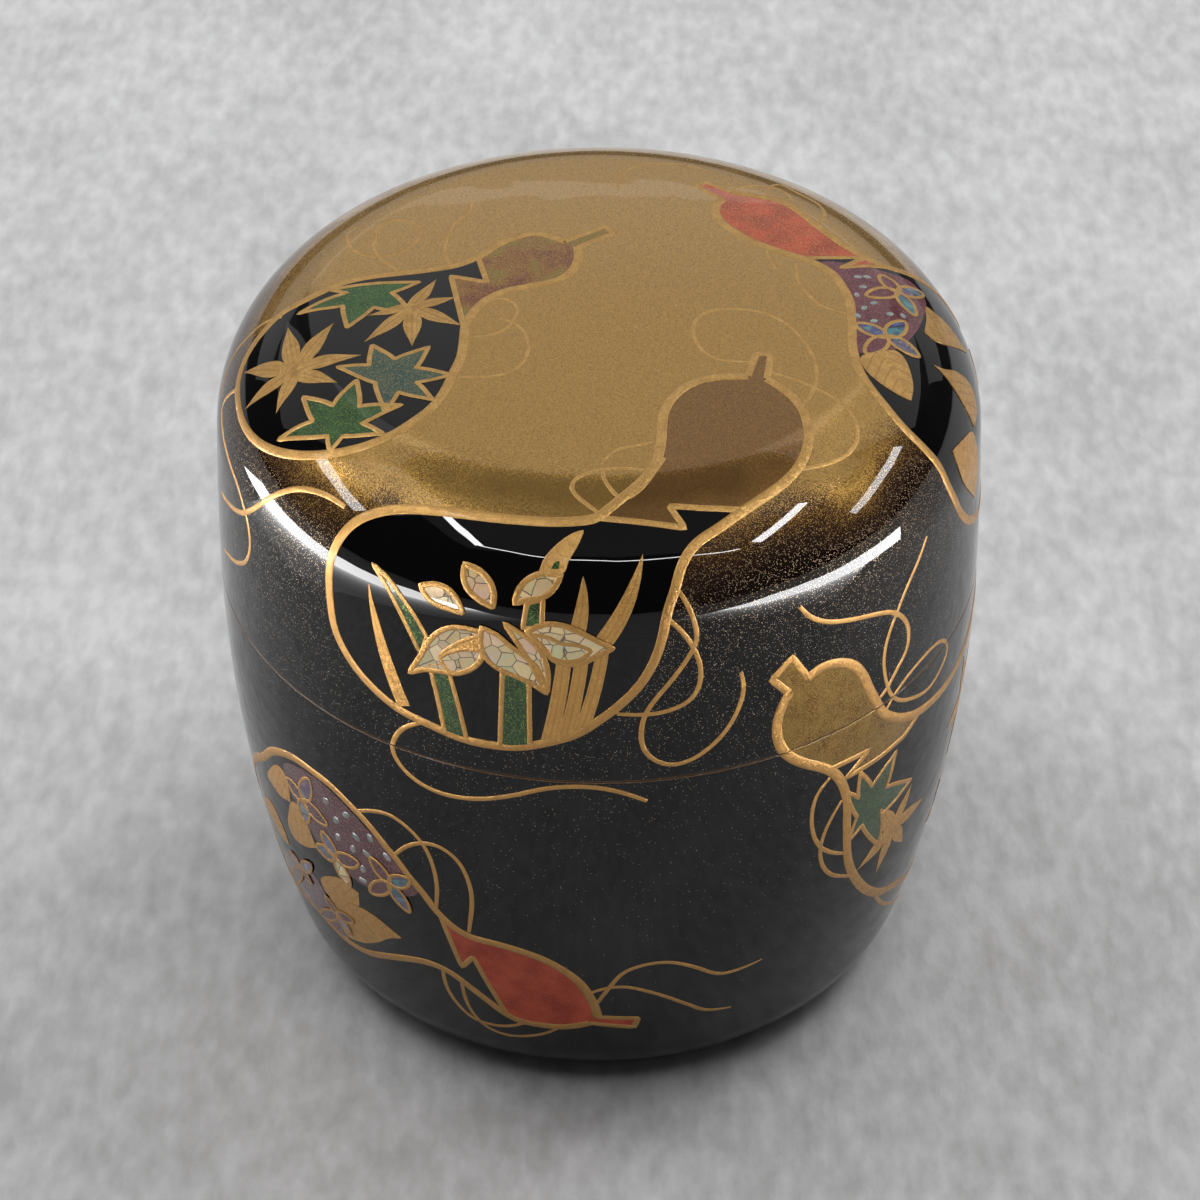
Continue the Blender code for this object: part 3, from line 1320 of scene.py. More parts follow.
@dataclass(frozen=True)
class ShellInlay(Finish):
    """Mother-of-pearl laid in small chips with dark lacquer between them.

    The glow is how strongly they shine in other colours. The emitted sheen is light that the chips give
    off themselves: painted light in place of their shine under the lamps.
    """

    name: str = "nacre"
    chip: float = 0.0013
    tints: tuple[tuple[float, Colour], ...] = (
        (0.0, (0.50, 0.31, 0.13)), (0.30, (0.80, 0.58, 0.27)), (0.60, (0.62, 0.54, 0.27)),
        (0.82, (0.78, 0.50, 0.28)), (1.0, (0.92, 0.74, 0.42)),
    )
    crack: Colour = (0.17, 0.085, 0.035)
    glow: float = 0.16
    # Light that the chips give off themselves: a painted sheen, no lamp.
    emitted_sheen: float = 0.17
    play: tuple[tuple[float, Colour], ...] = (
        (0.0, (0.95, 0.35, 0.62)), (0.25, (0.95, 0.80, 0.45)), (0.5, (0.25, 0.85, 0.60)),
        (0.75, (0.30, 0.50, 0.98)), (1.0, (0.80, 0.40, 0.90)),
    )
    joint: Pair = (0.015, 0.045)
    roughness: Pair = (0.5, 0.22)
    tilt: float = 0.35
    coat_roughness: float = 0.04

    def dress(self, graph: Graph, shader: bpy.types.Node) -> None:
        """Writes the chips, the cracks and the play of colours."""
        place = graph.place()
        sway = graph.add("ShaderNodeTexNoise", {"Vector": place, "Scale": 900.0}).outputs["Color"]
        sway = graph.first("ShaderNodeVectorMath", {0: sway, "Scale": 0.0002}, operation="SCALE")
        warped = graph.vector("ADD", place, sway)
        chips = graph.add("ShaderNodeTexVoronoi", {"Vector": warped, "Scale": 1 / self.chip})
        edges = graph.add(
            "ShaderNodeTexVoronoi", {"Vector": warped, "Scale": 1 / self.chip}, feature="DISTANCE_TO_EDGE"
        )
        parts = graph.add("ShaderNodeSeparateColor", {0: chips.outputs["Color"]})
        grain = graph.noise(place, 3200.0, 3.0)
        shade = graph.math("ADD", graph.times(parts.outputs[0], 0.8), graph.times(grain, 0.3))
        colour = graph.ramp(shade, self.tints)
        facing = graph.add("ShaderNodeLayerWeight", {"Blend": 0.4}).outputs["Facing"]
        hue = graph.math("FRACT", graph.math("ADD", graph.times(facing, 1.4), parts.outputs[2]))
        play = graph.ramp(hue, self.play)
        bands = graph.ranged(graph.noise(place, 1500.0), 0.45, 0.62, 0.0, self.glow)
        colour = graph.colour(bands, colour, play)
        joint = graph.ranged(edges.outputs["Distance"], *self.joint)
        graph.feed(shader, {
            "Base Color": graph.colour(joint, rgba(self.crack), colour),
            "Metallic": graph.times(joint, 0.10),
            # The chips give off light in their own colour: a painted sheen.
            "Emission Color": graph.colour(joint, (0.0, 0.0, 0.0, 1.0), colour),
            "Emission Strength": self.emitted_sheen,
            "Roughness": graph.between(joint, *self.roughness),
            "Normal": graph.tilted(chips.outputs["Color"], self.tilt),
            "Coat Weight": 1.0,
            "Coat Roughness": self.coat_roughness,
        })


@dataclass(frozen=True)
class Felt(Finish):
    """The pale grey cloth under the caddy."""

    name: str = "pale_felt"
    light: Colour = (0.97, 0.97, 0.98)
    dark: Colour = (0.70, 0.70, 0.70)

    def dress(self, graph: Graph, shader: bpy.types.Node) -> None:
        """Writes the mottled fibres."""
        place = graph.place()
        fibres = graph.noise(graph.vector("MULTIPLY", place, (1.0, 0.45, 1.0)), 520.0, 6.0)
        clouds = graph.noise(place, 45.0, 3.0)
        share = graph.math("ADD", graph.times(fibres, 0.6), graph.times(clouds, 0.4))
        bump = graph.add("ShaderNodeBump", {"Strength": 0.4, "Distance": 0.0005, "Height": fibres})
        graph.feed(shader, {
            "Base Color": graph.colour(graph.ranged(share, 0.36, 0.64), rgba(self.dark), rgba(self.light)),
            "Roughness": 0.9,
            "Specular IOR Level": 0.1,
            "Normal": bump.outputs[0],
        })


PAINTS: dict[Paint, Finish] = {
    Paint.LINE: GoldPowder(),
    Paint.GOLD: GoldPowder("gold_leaf", (0.70, 0.39, 0.11), (0.28, 0.14, 0.038), strokes=0.42, pitch=0.42),
    Paint.GREEN: ColouredPowder(),
    Paint.BLUE_GREEN: ColouredPowder(
        "blue_green", (0.015, 0.050, 0.038), (0.045, 0.085, 0.050), (0.20, 0.17, 0.08), 0.26
    ),
    Paint.VIOLET: ColouredPowder(
        "violet", (0.085, 0.016, 0.030), (0.165, 0.050, 0.068), (0.25, 0.12, 0.085), 0.22
    ),
    Paint.NACRE: ShellInlay(),
    Paint.ABALONE: ShellInlay(
        "abalone", 0.0022,
        ((0.0, (0.015, 0.05, 0.07)), (0.3, (0.04, 0.03, 0.13)), (0.55, (0.04, 0.15, 0.14)),
         (0.8, (0.12, 0.04, 0.13)), (1.0, (0.05, 0.06, 0.16))),
        # Crack colour, play of colours, and the painted sheen that the chips give off.
        (0.03, 0.03, 0.04), 0.22, 0.03,
    ),
}


class TreeName(Enum):
    """The geometry trees of this file."""

    TURNED = "turned shell"
    RAISED = "raised gold line"
    STUDDED = "shell studs"


def new_tree(
    name: TreeName, inputs: list[tuple[str, str, object]]
) -> tuple[Graph, bpy.types.bpy_prop_collection]:
    """Starts a geometry tree.

    Args:
        name: which tree.
        inputs: each input's name, its kind of socket and its default, or None.

    Returns:
        The tree's writer and the sockets of its inputs.
    """
    tree = bpy.data.node_groups.new(name.value, "GeometryNodeTree")
    tree.interface.new_socket("Geometry", in_out="INPUT", socket_type="NodeSocketGeometry")
    for label, kind, default in inputs:
        socket = tree.interface.new_socket(label, in_out="INPUT", socket_type=kind)
        if default is not None:
            socket.default_value = default
    tree.interface.new_socket("Geometry", in_out="OUTPUT", socket_type="NodeSocketGeometry")
    graph = Graph(tree)
    return graph, graph.add("NodeGroupInput").outputs


def end_tree(graph: Graph, geometry: Socket, finish: Socket) -> bpy.types.NodeTree:
    """Ends a geometry tree with Realize Instances, smooth shading and Set Material."""
    real = graph.first("GeometryNodeRealizeInstances", {0: geometry})
    smooth = graph.first("GeometryNodeSetShadeSmooth", {0: real})
    dressed = graph.first("GeometryNodeSetMaterial", {"Geometry": smooth, "Material": finish})
    graph.add("NodeGroupOutput", {0: dressed})
    return graph.tree


def turned_tree() -> bpy.types.NodeTree:
    """The tree that carries a section round the axis; the section lies at the radius of the path."""
    graph, given = new_tree(TreeName.TURNED, [
        ("Path Radius", "NodeSocketFloat", 0.033), ("Segments", "NodeSocketInt", 480),
        ("Merge Distance", "NodeSocketFloat", 1e-6), ("Finish", "NodeSocketMaterial", None),
    ])
    path = graph.first("GeometryNodeCurvePrimitiveCircle", {
        "Resolution": given["Segments"], "Radius": given["Path Radius"],
    })
    section = graph.first("GeometryNodeMeshToCurve", {0: given["Geometry"]})
    shell = graph.first("GeometryNodeCurveToMesh", {"Curve": path, "Profile Curve": section})
    shell = graph.first("GeometryNodeMergeByDistance", {
        "Geometry": shell, "Distance": given["Merge Distance"],
    })
    return end_tree(graph, shell, given["Finish"])


def raised_tree() -> bpy.types.NodeTree:
    """The tree that makes a low rounded line from each polyline, by its normals and half widths."""
    graph, given = new_tree(TreeName.RAISED, [
        ("Height", "NodeSocketFloat", 0.16), ("Sides", "NodeSocketInt", 12),
        ("Finish", "NodeSocketMaterial", None),
    ])
    away = graph.first("GeometryNodeInputNamedAttribute", {"Name": "away"}, data_type="FLOAT_VECTOR")
    half = graph.first("GeometryNodeInputNamedAttribute", {"Name": "half_width"}, data_type="FLOAT")
    curve = graph.first("GeometryNodeMeshToCurve", {0: given["Geometry"]})
    curve = graph.first("GeometryNodeSetCurveNormal", {"Curve": curve, "Normal": away}, mode="FREE")
    circle = graph.first("GeometryNodeCurvePrimitiveCircle", {"Resolution": given["Sides"], "Radius": 1.0})
    flat = graph.first("ShaderNodeCombineXYZ", {0: given["Height"], 1: 1.0, 2: 1.0})
    section = graph.first("GeometryNodeTransform", {"Geometry": circle, "Scale": flat})
    line = graph.first("GeometryNodeCurveToMesh", {
        "Curve": curve, "Profile Curve": section, "Scale": half, "Fill Caps": True,
    })
    return end_tree(graph, line, given["Finish"])


def studded_tree() -> bpy.types.NodeTree:
    """The tree that sets a flat oval stud on each point, turned at random about its normal."""
    graph, given = new_tree(TreeName.STUDDED, [
        ("Flatness", "NodeSocketFloat", 0.16), ("Narrowness", "NodeSocketFloat", 0.66),
        ("Seed", "NodeSocketInt", 5), ("Finish", "NodeSocketMaterial", None),
    ])
    away = graph.first("GeometryNodeInputNamedAttribute", {"Name": "away"}, data_type="FLOAT_VECTOR")
    half = graph.first("GeometryNodeInputNamedAttribute", {"Name": "half_width"}, data_type="FLOAT")
    points = graph.first("GeometryNodeMeshToPoints", {0: given["Geometry"]})
    stud = graph.first("GeometryNodeMeshUVSphere", {"Segments": 12, "Rings": 6, "Radius": 1.0})
    turn = graph.add("FunctionNodeRandomValue", {2: 0.0, 3: 2 * math.pi, "Seed": given["Seed"]}).outputs[1]
    spin = graph.first("ShaderNodeCombineXYZ", {2: turn})
    spin = graph.first("FunctionNodeEulerToRotation", {0: spin})
    upright = graph.first("FunctionNodeAlignRotationToVector", {"Vector": away}, axis="Z")
    both = graph.first(
        "FunctionNodeRotateRotation", {"Rotation": upright, "Rotate By": spin}, rotation_space="LOCAL"
    )
    narrow = graph.times(half, given["Narrowness"])
    flat = graph.times(half, given["Flatness"])
    size = graph.first("ShaderNodeCombineXYZ", {0: half, 1: narrow, 2: flat})
    studs = graph.first("GeometryNodeInstanceOnPoints", {
        "Points": points, "Instance": stud, "Rotation": both, "Scale": size,
    })
    return end_tree(graph, studs, given["Finish"])


def grown(mesh: Mesh, tree: bpy.types.NodeTree, inputs: dict[str, object]) -> Mesh:
    """Runs a geometry tree on a mesh.

    Args:
        mesh: the mesh to start from.
        tree: the tree.
        inputs: values for the tree's named inputs.

    Returns:
        The plain mesh that comes out.
    """
    scratch = linked("scratch", mesh)
    modifier = scratch.modifiers.new("tree", "NODES")
    modifier.node_group = tree
    sockets = {item.name: item.identifier for item in tree.interface.items_tree if item.in_out == "INPUT"}
    for label, value in inputs.items():
        modifier[sockets[label]] = value
    bpy.context.view_layer.update()
    graph = bpy.context.evaluated_depsgraph_get()
    made = bpy.data.meshes.new_from_object(
        scratch.evaluated_get(graph), preserve_all_data_layers=True, depsgraph=graph
    )
    bpy.data.objects.remove(scratch)
    return made


@dataclass
class Bench:
    """Where finished meshes become pieces of the caddy, cut a margin away from the middle of the seam."""

    form: TurnedForm
    seam_margin: float = 0.00008
    sharp: float = 50.0

    def put(self, name: str, mesh: Mesh, part: Part, replaced: bool = False) -> bpy.types.Object:
        """Makes a mesh a piece.

        Args:
            name: the piece's name.
            mesh: its mesh, in place.
            part: the turned piece that it belongs to.
            replaced: whether it stands for that piece's solid.

        Returns:
            The piece.
        """
        mesh.name = name
        mesh.set_sharp_from_angle(angle=math.radians(self.sharp))
        piece = linked(name, mesh)
        if replaced:
            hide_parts(part.value)
        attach(piece, "root")
        mesh.calc_loop_triangles()
        log.info("%s: %d triangles", name, len(mesh.loop_triangles))
        return piece

    def put_parted(self, name: str, mesh: Mesh) -> None:
        """Cuts a mesh at the seam and makes a piece of what lies on the lid and on the body."""
        heights = np.array([v.co.z for v in mesh.vertices])
        seam = self.form.body_height
        for part, sign in ((Part.LID, 1.0), (Part.BODY, -1.0)):
            level = seam + sign * self.seam_margin
            if (sign * (heights - level) > 0).any():
                cut = self.cut(mesh, level, sign) if (sign * (heights - level) < 0).any() else mesh.copy()
                self.put(f"{part.value}_{name}", cut, part)
        bpy.data.meshes.remove(mesh)

    def cut(self, mesh: Mesh, level: float, sign: float) -> Mesh:
        """A closed copy of the part of a mesh above a level, or below it where sign is negative."""
        work = bmesh.new()
        work.from_mesh(mesh)
        everything = work.verts[:] + work.edges[:] + work.faces[:]
        bmesh.ops.bisect_plane(
            work, geom=everything, plane_co=(0.0, 0.0, level), plane_no=(0.0, 0.0, -sign), clear_outer=True
        )
        bmesh.ops.holes_fill(work, edges=[e for e in work.edges if e.is_boundary], sides=0)
        out = mesh.copy()
        work.to_mesh(out)
        work.free()
        return out


def carry(mesh: Mesh, name: str, values: Points) -> None:
    """Writes one number a point into a mesh."""
    mesh.attributes.new(name, "FLOAT", "POINT").data.foreach_set("value", values.astype(np.float32))


def line_mesh(paths: list[Path]) -> Mesh:
    """A mesh of polylines that carries their normals and half widths."""
    points = np.vstack([p.points for p in paths])
    edges, start = [], 0
    for path in paths:
        count = len(path.points)
        edges += [(start + i, start + i + 1) for i in range(count - 1)]
        if path.closed:
            edges.append((start + count - 1, start))
        start += count
    mesh = bpy.data.meshes.new("lines")
    mesh.from_pydata(points.tolist(), edges, [])
    away = mesh.attributes.new("away", "FLOAT_VECTOR", "POINT")
    away.data.foreach_set("vector", np.vstack([p.normals for p in paths]).astype(np.float32).ravel())
    carry(mesh, "half_width", np.concatenate([p.half for p in paths]))
    return mesh


def plate_mesh(plates: list[Plate], finish: bpy.types.Material) -> Mesh:
    """One mesh of several plates, with their finish and their strokes."""
    points, faces, across, start = [], [], [], 0
    for plate in plates:
        points += plate.points.tolist()
        faces += [tuple(i + start for i in f) for f in plate.faces]
        across.append(plate.across)
        start += len(plate.points)
    mesh = bpy.data.meshes.new("plates")
    mesh.from_pydata(points, [], faces)
    carry(mesh, "across", np.concatenate(across))
    mesh.polygons.foreach_set("use_smooth", [True] * len(mesh.polygons))
    mesh.materials.append(finish)
    return mesh


@dataclass
class Cord:
    """A loose end of a gourd's cord, with its width in millimetres and the shares of it at its ends."""

    spots: list[Spot]
    width: float = 0.42
    start: float = 0.8
    end: float = 0.8


@dataclass
class Gourd:
    """A bottle gourd in gold outline, with a cord round its neck and plants inside.

    The outline runs from one side of the stalk's foot round to the other, and the stalk's line back to its
    start. The divider is the jagged line between the bulbs. The figures go from the lowest to the topmost.
    The studs are dots of shell, with the width of one in millimetres.
    """

    name: str
    outline: list[Spot]
    stalk: list[Spot]
    divider: list[Spot]
    small_ground: Ground
    cords: list[Cord]
    figures: list[Figure]
    studs: tuple[list[Spot], float] = ((), 0.5)
    line: float = 0.82
    stud_lift: float = 0.00002

    def lay_out(self, brush: Brush) -> None:
        """Lays the outline on the surface and parts it into the two bulbs."""
        self.brush = brush
        self.main = brush.line(self.outline, self.line)
        self.foot = brush.line(self.stalk, self.line * 0.72, sharp=True)
        self.jag = brush.line(self.divider, self.line * 0.62, sharp=True)
        ring = np.vstack([self.main.points, self.foot.points])
        ends = [int(np.linalg.norm(ring - self.jag.points[i], axis=1).argmin()) for i in (0, -1)]
        ring, end = np.roll(ring, -ends[0], axis=0), (ends[1] - ends[0]) % len(ring)
        stalk_at = (len(self.main.points) - ends[0]) % len(ring)
        first = np.vstack([ring[: end + 1], self.jag.points[::-1]])
        second = np.vstack([ring[end:], self.jag.points])
        large, small = (second, first) if stalk_at < end else (first, second)
        self.large, self.small = Field(brush.form, large), Field(brush.form, small)

    def build(self, bench: Bench, trees: dict[TreeName, bpy.types.NodeTree]) -> None:
        """Makes the gourd's lines, plates and studs.

        Args:
            bench: where they become pieces.
            trees: the geometry trees.
        """
        paths = [self.main, self.foot, self.jag]
        for cord in self.cords:
            paths.append(self.brush.line(cord.spots, cord.width, start=cord.start, end=cord.end))
        plates: dict[Paint, list[Plate]] = {}
        for order, figure in enumerate(self.figures):
            plate = self.brush.plate(figure, self.large, order)
            if plate:
                plates.setdefault(figure.paint, []).append(plate)
            if figure.rim:
                paths += self.brush.rims(figure, self.large, order)
        lines = grown(line_mesh(paths), trees[TreeName.RAISED], {"Finish": PAINTS[Paint.LINE].material()})
        bench.put_parted(f"{self.name}_gold_lines", lines)
        for paint, group in plates.items():
            bench.put_parted(f"{self.name}_{paint.value}", plate_mesh(group, PAINTS[paint].material()))
        if self.studs[0]:
            points, normals = self.brush.form.settle(self.brush.view.find(self.studs[0]))
            points = points + normals * self.stud_lift
            half = np.full(len(points), self.studs[1] * MM / 2)
            studs = line_mesh([Path(points, normals, half)])
            studs = grown(studs, trees[TreeName.STUDDED], {"Finish": STUD_SHELL.material()})
            bench.put_parted(f"{self.name}_studs", studs)


@dataclass
class Shells:
    """The turned lid and body in their dusted lacquer."""

    form: TurnedForm
    bench: Bench
    segments: int = 480
    skin: float = 0.0003
    outside: float = -1.5
    finish: DustedLacquer = DustedLacquer()

    def build(self, tree: bpy.types.NodeTree, gourds: list[Gourd]) -> None:
        """Turns both shells and marks the grounds of the gourds on them."""
        for part, section in ((Part.LID, self.form.lid_section()), (Part.BODY, self.form.body_section())):
            mesh = self.turn(section, tree)
            self.mark(mesh, gourds)
            self.bench.put(f"{part.value}_shell", mesh, part, replaced=True)

    def turn(self, section: list[Pair], tree: bpy.types.NodeTree) -> Mesh:
        """Turns one section into a shell."""
        radius = self.form.widest_radius
        mesh = bpy.data.meshes.new("section")
        mesh.from_pydata(
            [(r - radius, -z, 0.0) for r, z in section], [(i, i + 1) for i in range(len(section) - 1)], []
        )
        return grown(mesh, tree, {
            "Path Radius": radius, "Segments": self.segments, "Finish": self.finish.material(),
        })

    def mark(self, mesh: Mesh, gourds: list[Gourd]) -> None:
        """Writes how deep each outer point lies inside each kind of ground."""
        points = np.zeros(len(mesh.vertices) * 3)
        mesh.vertices.foreach_get("co", points)
        points = points.reshape(-1, 3)
        outer = np.flatnonzero(self.form.distance(points)[0] > -self.skin)
        for ground in Ground:
            depth = np.full(len(points), self.outside)
            for gourd in gourds:
                for kind, bulb in ((Ground.BLACK, gourd.large), (gourd.small_ground, gourd.small)):
                    if kind is ground:
                        depth[outer] = np.maximum(depth[outer], bulb.depth(points[outer]))
            carry(mesh, ground.value, depth)


@dataclass(frozen=True)
class Bulbs:
    """The standard gourd outline, for the side of the caddy that the picture doesn't show.

    The turn is the stalk's direction in degrees, anticlockwise from level, and the size is the large
    bulb's half width in millimetres.
    """

    middle: At
    turn: float
    size: float

    def at(self, places: list[Pair]) -> list[Spot]:
        """Places along and across the gourd, in half widths, as bearings and heights."""
        turn = math.radians(self.turn)
        girth = math.radians(TurnedForm.widest_radius / MM)
        spots: list[Spot] = []
        for along, across in places:
            x = self.size * (along * math.cos(turn) - across * math.sin(turn))
            y = self.size * (along * math.sin(turn) + across * math.cos(turn))
            spots.append(At(self.middle.bearing + x / girth, self.middle.height + y))
        return spots


def pixels(*numbers: float) -> list[Spot]:
    """Places of the picture, from numbers that go across, down, across, down."""
    return list(zip(numbers[::2], numbers[1::2]))


def front_gourd() -> Gourd:
    """The largest gourd, with irises, over the lid's front."""
    gold, green, shell = Paint.GOLD, Paint.GREEN, Paint.NACRE
    sword, stem = LeafForm.SWORD, LeafForm.STEM
    figures: list[Figure] = [
        Leaf((404, 706), (369, 582), 1.25, gold, sword, 0.35),
        Patch(pixels(373, 564, 388, 578, 402, 597, 415, 616, 427, 637, 421, 652, 410, 632, 397, 606,
            385, 583), green, 0.42, (0, 4)),
        Leaf((575, 640), (583, 575), 1.3, gold, sword, -0.25),
        Leaf((597, 650), (643, 553), 1.5, gold, sword, -0.45),
        Leaf((548, 745), (566, 640), 1.35, gold, stem, -0.2),
        Leaf((564, 743), (584, 640), 1.25, gold, stem, -0.2),
        Leaf((577, 740), (604, 640), 1.2, gold, stem, -0.3),
        Leaf((457, 742), (438, 664), 1.9, green, stem, -0.1, 0.42),
        Leaf((515, 750), (516, 664), 2.5, green, stem, 0.0, 0.42),
        Patch(pixels(523, 628, 527, 603, 543, 599, 542, 628), green, 0.42, (0, 1, 2, 3)),
        Patch(pixels(540, 572, 546, 558, 558, 545, 572, 535, 583, 531, 577, 545, 568, 560, 562, 573), gold,
            0.2, (0, 4), (0, 4)),
        Patch(pixels(551, 569, 555, 562, 560, 560, 559, 569), green, 0.0, (0, 1, 2, 3)),
        Patch(pixels(515, 603, 518, 592, 526, 581, 540, 574, 561, 574, 556, 585, 548, 594, 536, 599,
            523, 601), shell, 0.52, (0, 4)),
        Patch(pixels(421, 585, 436, 584, 450, 590, 459, 602, 463, 613, 447, 608, 433, 602, 425, 594), shell,
            0.48, (0, 4)),
        Patch(pixels(465, 564, 479, 570, 489, 580, 494, 593, 493, 607, 480, 600, 469, 590, 464, 578), shell,
            0.52, (0, 4)),
        Patch(pixels(410, 672, 421, 655, 430, 640, 440, 631, 452, 627, 466, 628, 482, 632, 481, 645, 482, 657,
            472, 668, 456, 673, 440, 671, 425, 669), shell, 0.5, (0, 6)),
        Patch(pixels(440, 657, 454, 650, 480, 649, 482, 658, 472, 668, 456, 673, 447, 669), shell, 0.36,
            (0, 2)),
        Patch(pixels(440, 655, 452, 646, 466, 639, 481, 635, 480, 649, 462, 649), gold, 0.36, (0, 3), (0, 3)),
        Patch(pixels(527, 631, 545, 624, 562, 625, 580, 632, 598, 641, 613, 648, 598, 655, 584, 662, 568, 664,
            553, 659, 546, 650), shell, 0.5, (0, 5)),
        Patch(pixels(546, 652, 532, 634, 548, 637, 562, 643, 578, 645, 592, 650, 580, 659, 566, 661,
            554, 658), shell, 0.36, (1, 5)),
        Patch(pixels(505, 623, 518, 631, 531, 640, 543, 655, 548, 672, 547, 693, 538, 676, 528, 658,
            516, 640), shell, 0.46, (0, 5)),
        Patch(pixels(482, 627, 497, 634, 510, 645, 525, 656, 538, 668, 547, 693, 530, 682, 512, 674, 497, 667,
            486, 657, 481, 642), shell, 0.46, (0, 5)),
    ]
    cords = [
        Cord(pixels(676, 587, 685, 600, 694, 620, 697, 640, 690, 655, 672, 680, 655, 700, 645, 715, 641, 735,
            645, 752, 660, 763, 675, 765, 695, 758, 715, 743, 730, 725, 740, 705, 744, 688, 741, 672)),
        Cord(pixels(668, 618, 685, 635, 697, 655, 701, 670, 698, 690, 688, 702, 665, 712, 640, 715,
            617, 714)),
        Cord(pixels(420, 723, 405, 727, 395, 737, 392, 750, 400, 765, 415, 780, 440, 793, 475, 799, 510, 796,
            550, 788, 590, 787, 620, 792, 647, 801), 0.46),
        Cord(pixels(652, 471, 620, 468, 600, 470, 580, 476, 570, 485, 575, 495, 588, 505, 600, 514), 0.36),
        Cord(pixels(665, 458, 640, 490, 622, 500, 610, 488, 602, 475, 603, 468), 0.34),
        Cord(pixels(652, 442, 640, 445, 615, 450, 600, 465), 0.28, end=0.4),
        Cord(pixels(750, 362, 720, 360, 702, 350, 693, 332, 697, 318, 712, 310, 737, 309, 765, 313, 785, 323,
            803, 340, 815, 360, 817, 380, 811, 395, 803, 405), 0.34),
        Cord(pixels(772, 373, 790, 378, 815, 388, 840, 402, 855, 420, 858, 438, 850, 452, 830, 463, 802, 469),
            0.38),
    ]
    return Gourd(
        "front_gourd",
        outline=pixels(767, 379, 785, 390, 800, 405, 808, 425, 808, 445, 800, 465, 785, 482, 760, 500,
            740, 513, 716, 530, 700, 540, 688, 553, 680, 570, 675, 590, 668, 610, 663, 635, 655, 660,
            640, 685, 620, 705, 600, 720, 575, 735, 550, 742, 520, 747, 490, 745, 460, 738, 430, 725,
            400, 710, 375, 690, 350, 660, 335, 630, 330, 600, 329, 575, 332, 555, 340, 538, 355, 522,
            375, 513, 400, 509, 440, 511, 480, 516, 520, 520, 560, 522, 598, 518, 605, 512, 622, 498,
            640, 483, 653, 468, 660, 450, 662, 430, 664, 412, 672, 398, 685, 387, 700, 380, 720, 377,
            748, 376),
        stalk=pixels(748, 376, 756, 354, 771, 354, 767, 379),
        divider=pixels(598, 518, 640, 522, 685, 528, 669, 506, 700, 508, 745, 510),
        small_ground=Ground.BROWN, cords=cords, figures=figures,
    )


def left_gourd() -> Gourd:
    """The gourd with maple leaves at the lid's left."""
    gold, green = Paint.GOLD, Paint.GREEN
    figures: list[Figure] = [
        MapleLeaf((366, 290), pixels(298, 314, 347, 328, 412, 313, 420, 282, 330, 290), green, 0.42, 0.50,
            0.02),
        MapleLeaf((412, 307), pixels(437, 279, 457, 297, 463, 326, 412, 347, 363, 343, 367, 316), gold),
        MapleLeaf((295, 372), pixels(288, 327, 334, 323, 363, 355, 338, 383, 276, 414, 245, 410, 244, 373),
            gold),
        MapleLeaf((388, 377), pixels(372, 345, 429, 347, 453, 375, 433, 400, 385, 412, 337, 367),
            Paint.BLUE_GREEN, 0.40, 0.50, 0.02),
        MapleLeaf((338, 428), pixels(303, 397, 357, 380, 402, 405, 384, 434, 330, 452, 278, 440), green, 0.42,
            0.48, 0.02),
    ]
    cords = [
        Cord(pixels(282, 317, 265, 322, 248, 337, 235, 353, 225, 377, 222, 397), 0.38),
        Cord(pixels(235, 390, 223, 403, 222, 423, 228, 457, 238, 487, 247, 520, 250, 543, 247, 560, 238, 563,
            225, 550), 0.42),
        Cord(pixels(222, 493, 232, 507, 242, 513, 255, 508, 275, 495, 295, 489, 315, 491, 332, 498, 345, 507),
            0.50),
        Cord(pixels(412, 222, 422, 227, 415, 243, 398, 253, 378, 257, 358, 253, 348, 243, 348, 232, 358, 227),
            0.30),
        Cord(pixels(400, 272, 378, 257, 373, 248, 375, 240, 378, 227, 392, 221, 408, 220), 0.32),
        Cord(pixels(472, 200, 470, 210, 455, 223, 447, 237, 445, 253, 452, 267), 0.34),
        Cord(pixels(475, 312, 487, 302, 502, 298, 515, 303, 517, 313, 508, 327, 492, 335, 470, 337), 0.30),
        Cord(pixels(500, 318, 515, 323, 527, 337, 528, 353, 515, 370, 495, 376, 458, 377), 0.30),
    ]
    return Gourd(
        "left_gourd",
        outline=pixels(578, 247, 578, 260, 571, 272, 558, 280, 535, 285, 508, 290, 488, 298, 475, 310,
            466, 322, 464, 337, 461, 357, 453, 373, 445, 390, 432, 407, 415, 420, 395, 433, 368, 445,
            342, 452, 318, 455, 295, 455, 272, 450, 255, 440, 243, 423, 238, 403, 238, 383, 242, 367,
            252, 347, 265, 330, 282, 313, 302, 302, 322, 292, 342, 283, 368, 277, 402, 273, 428, 270,
            448, 267, 462, 264, 473, 259, 481, 256, 488, 250, 508, 240, 535, 233, 550, 236, 565, 241),
        stalk=pixels(565, 241, 606, 226, 613, 233, 578, 247),
        divider=pixels(478, 257, 487, 282, 451, 276, 464, 328),
        small_ground=Ground.AUTUMN, cords=cords, figures=figures, line=0.80,
    )


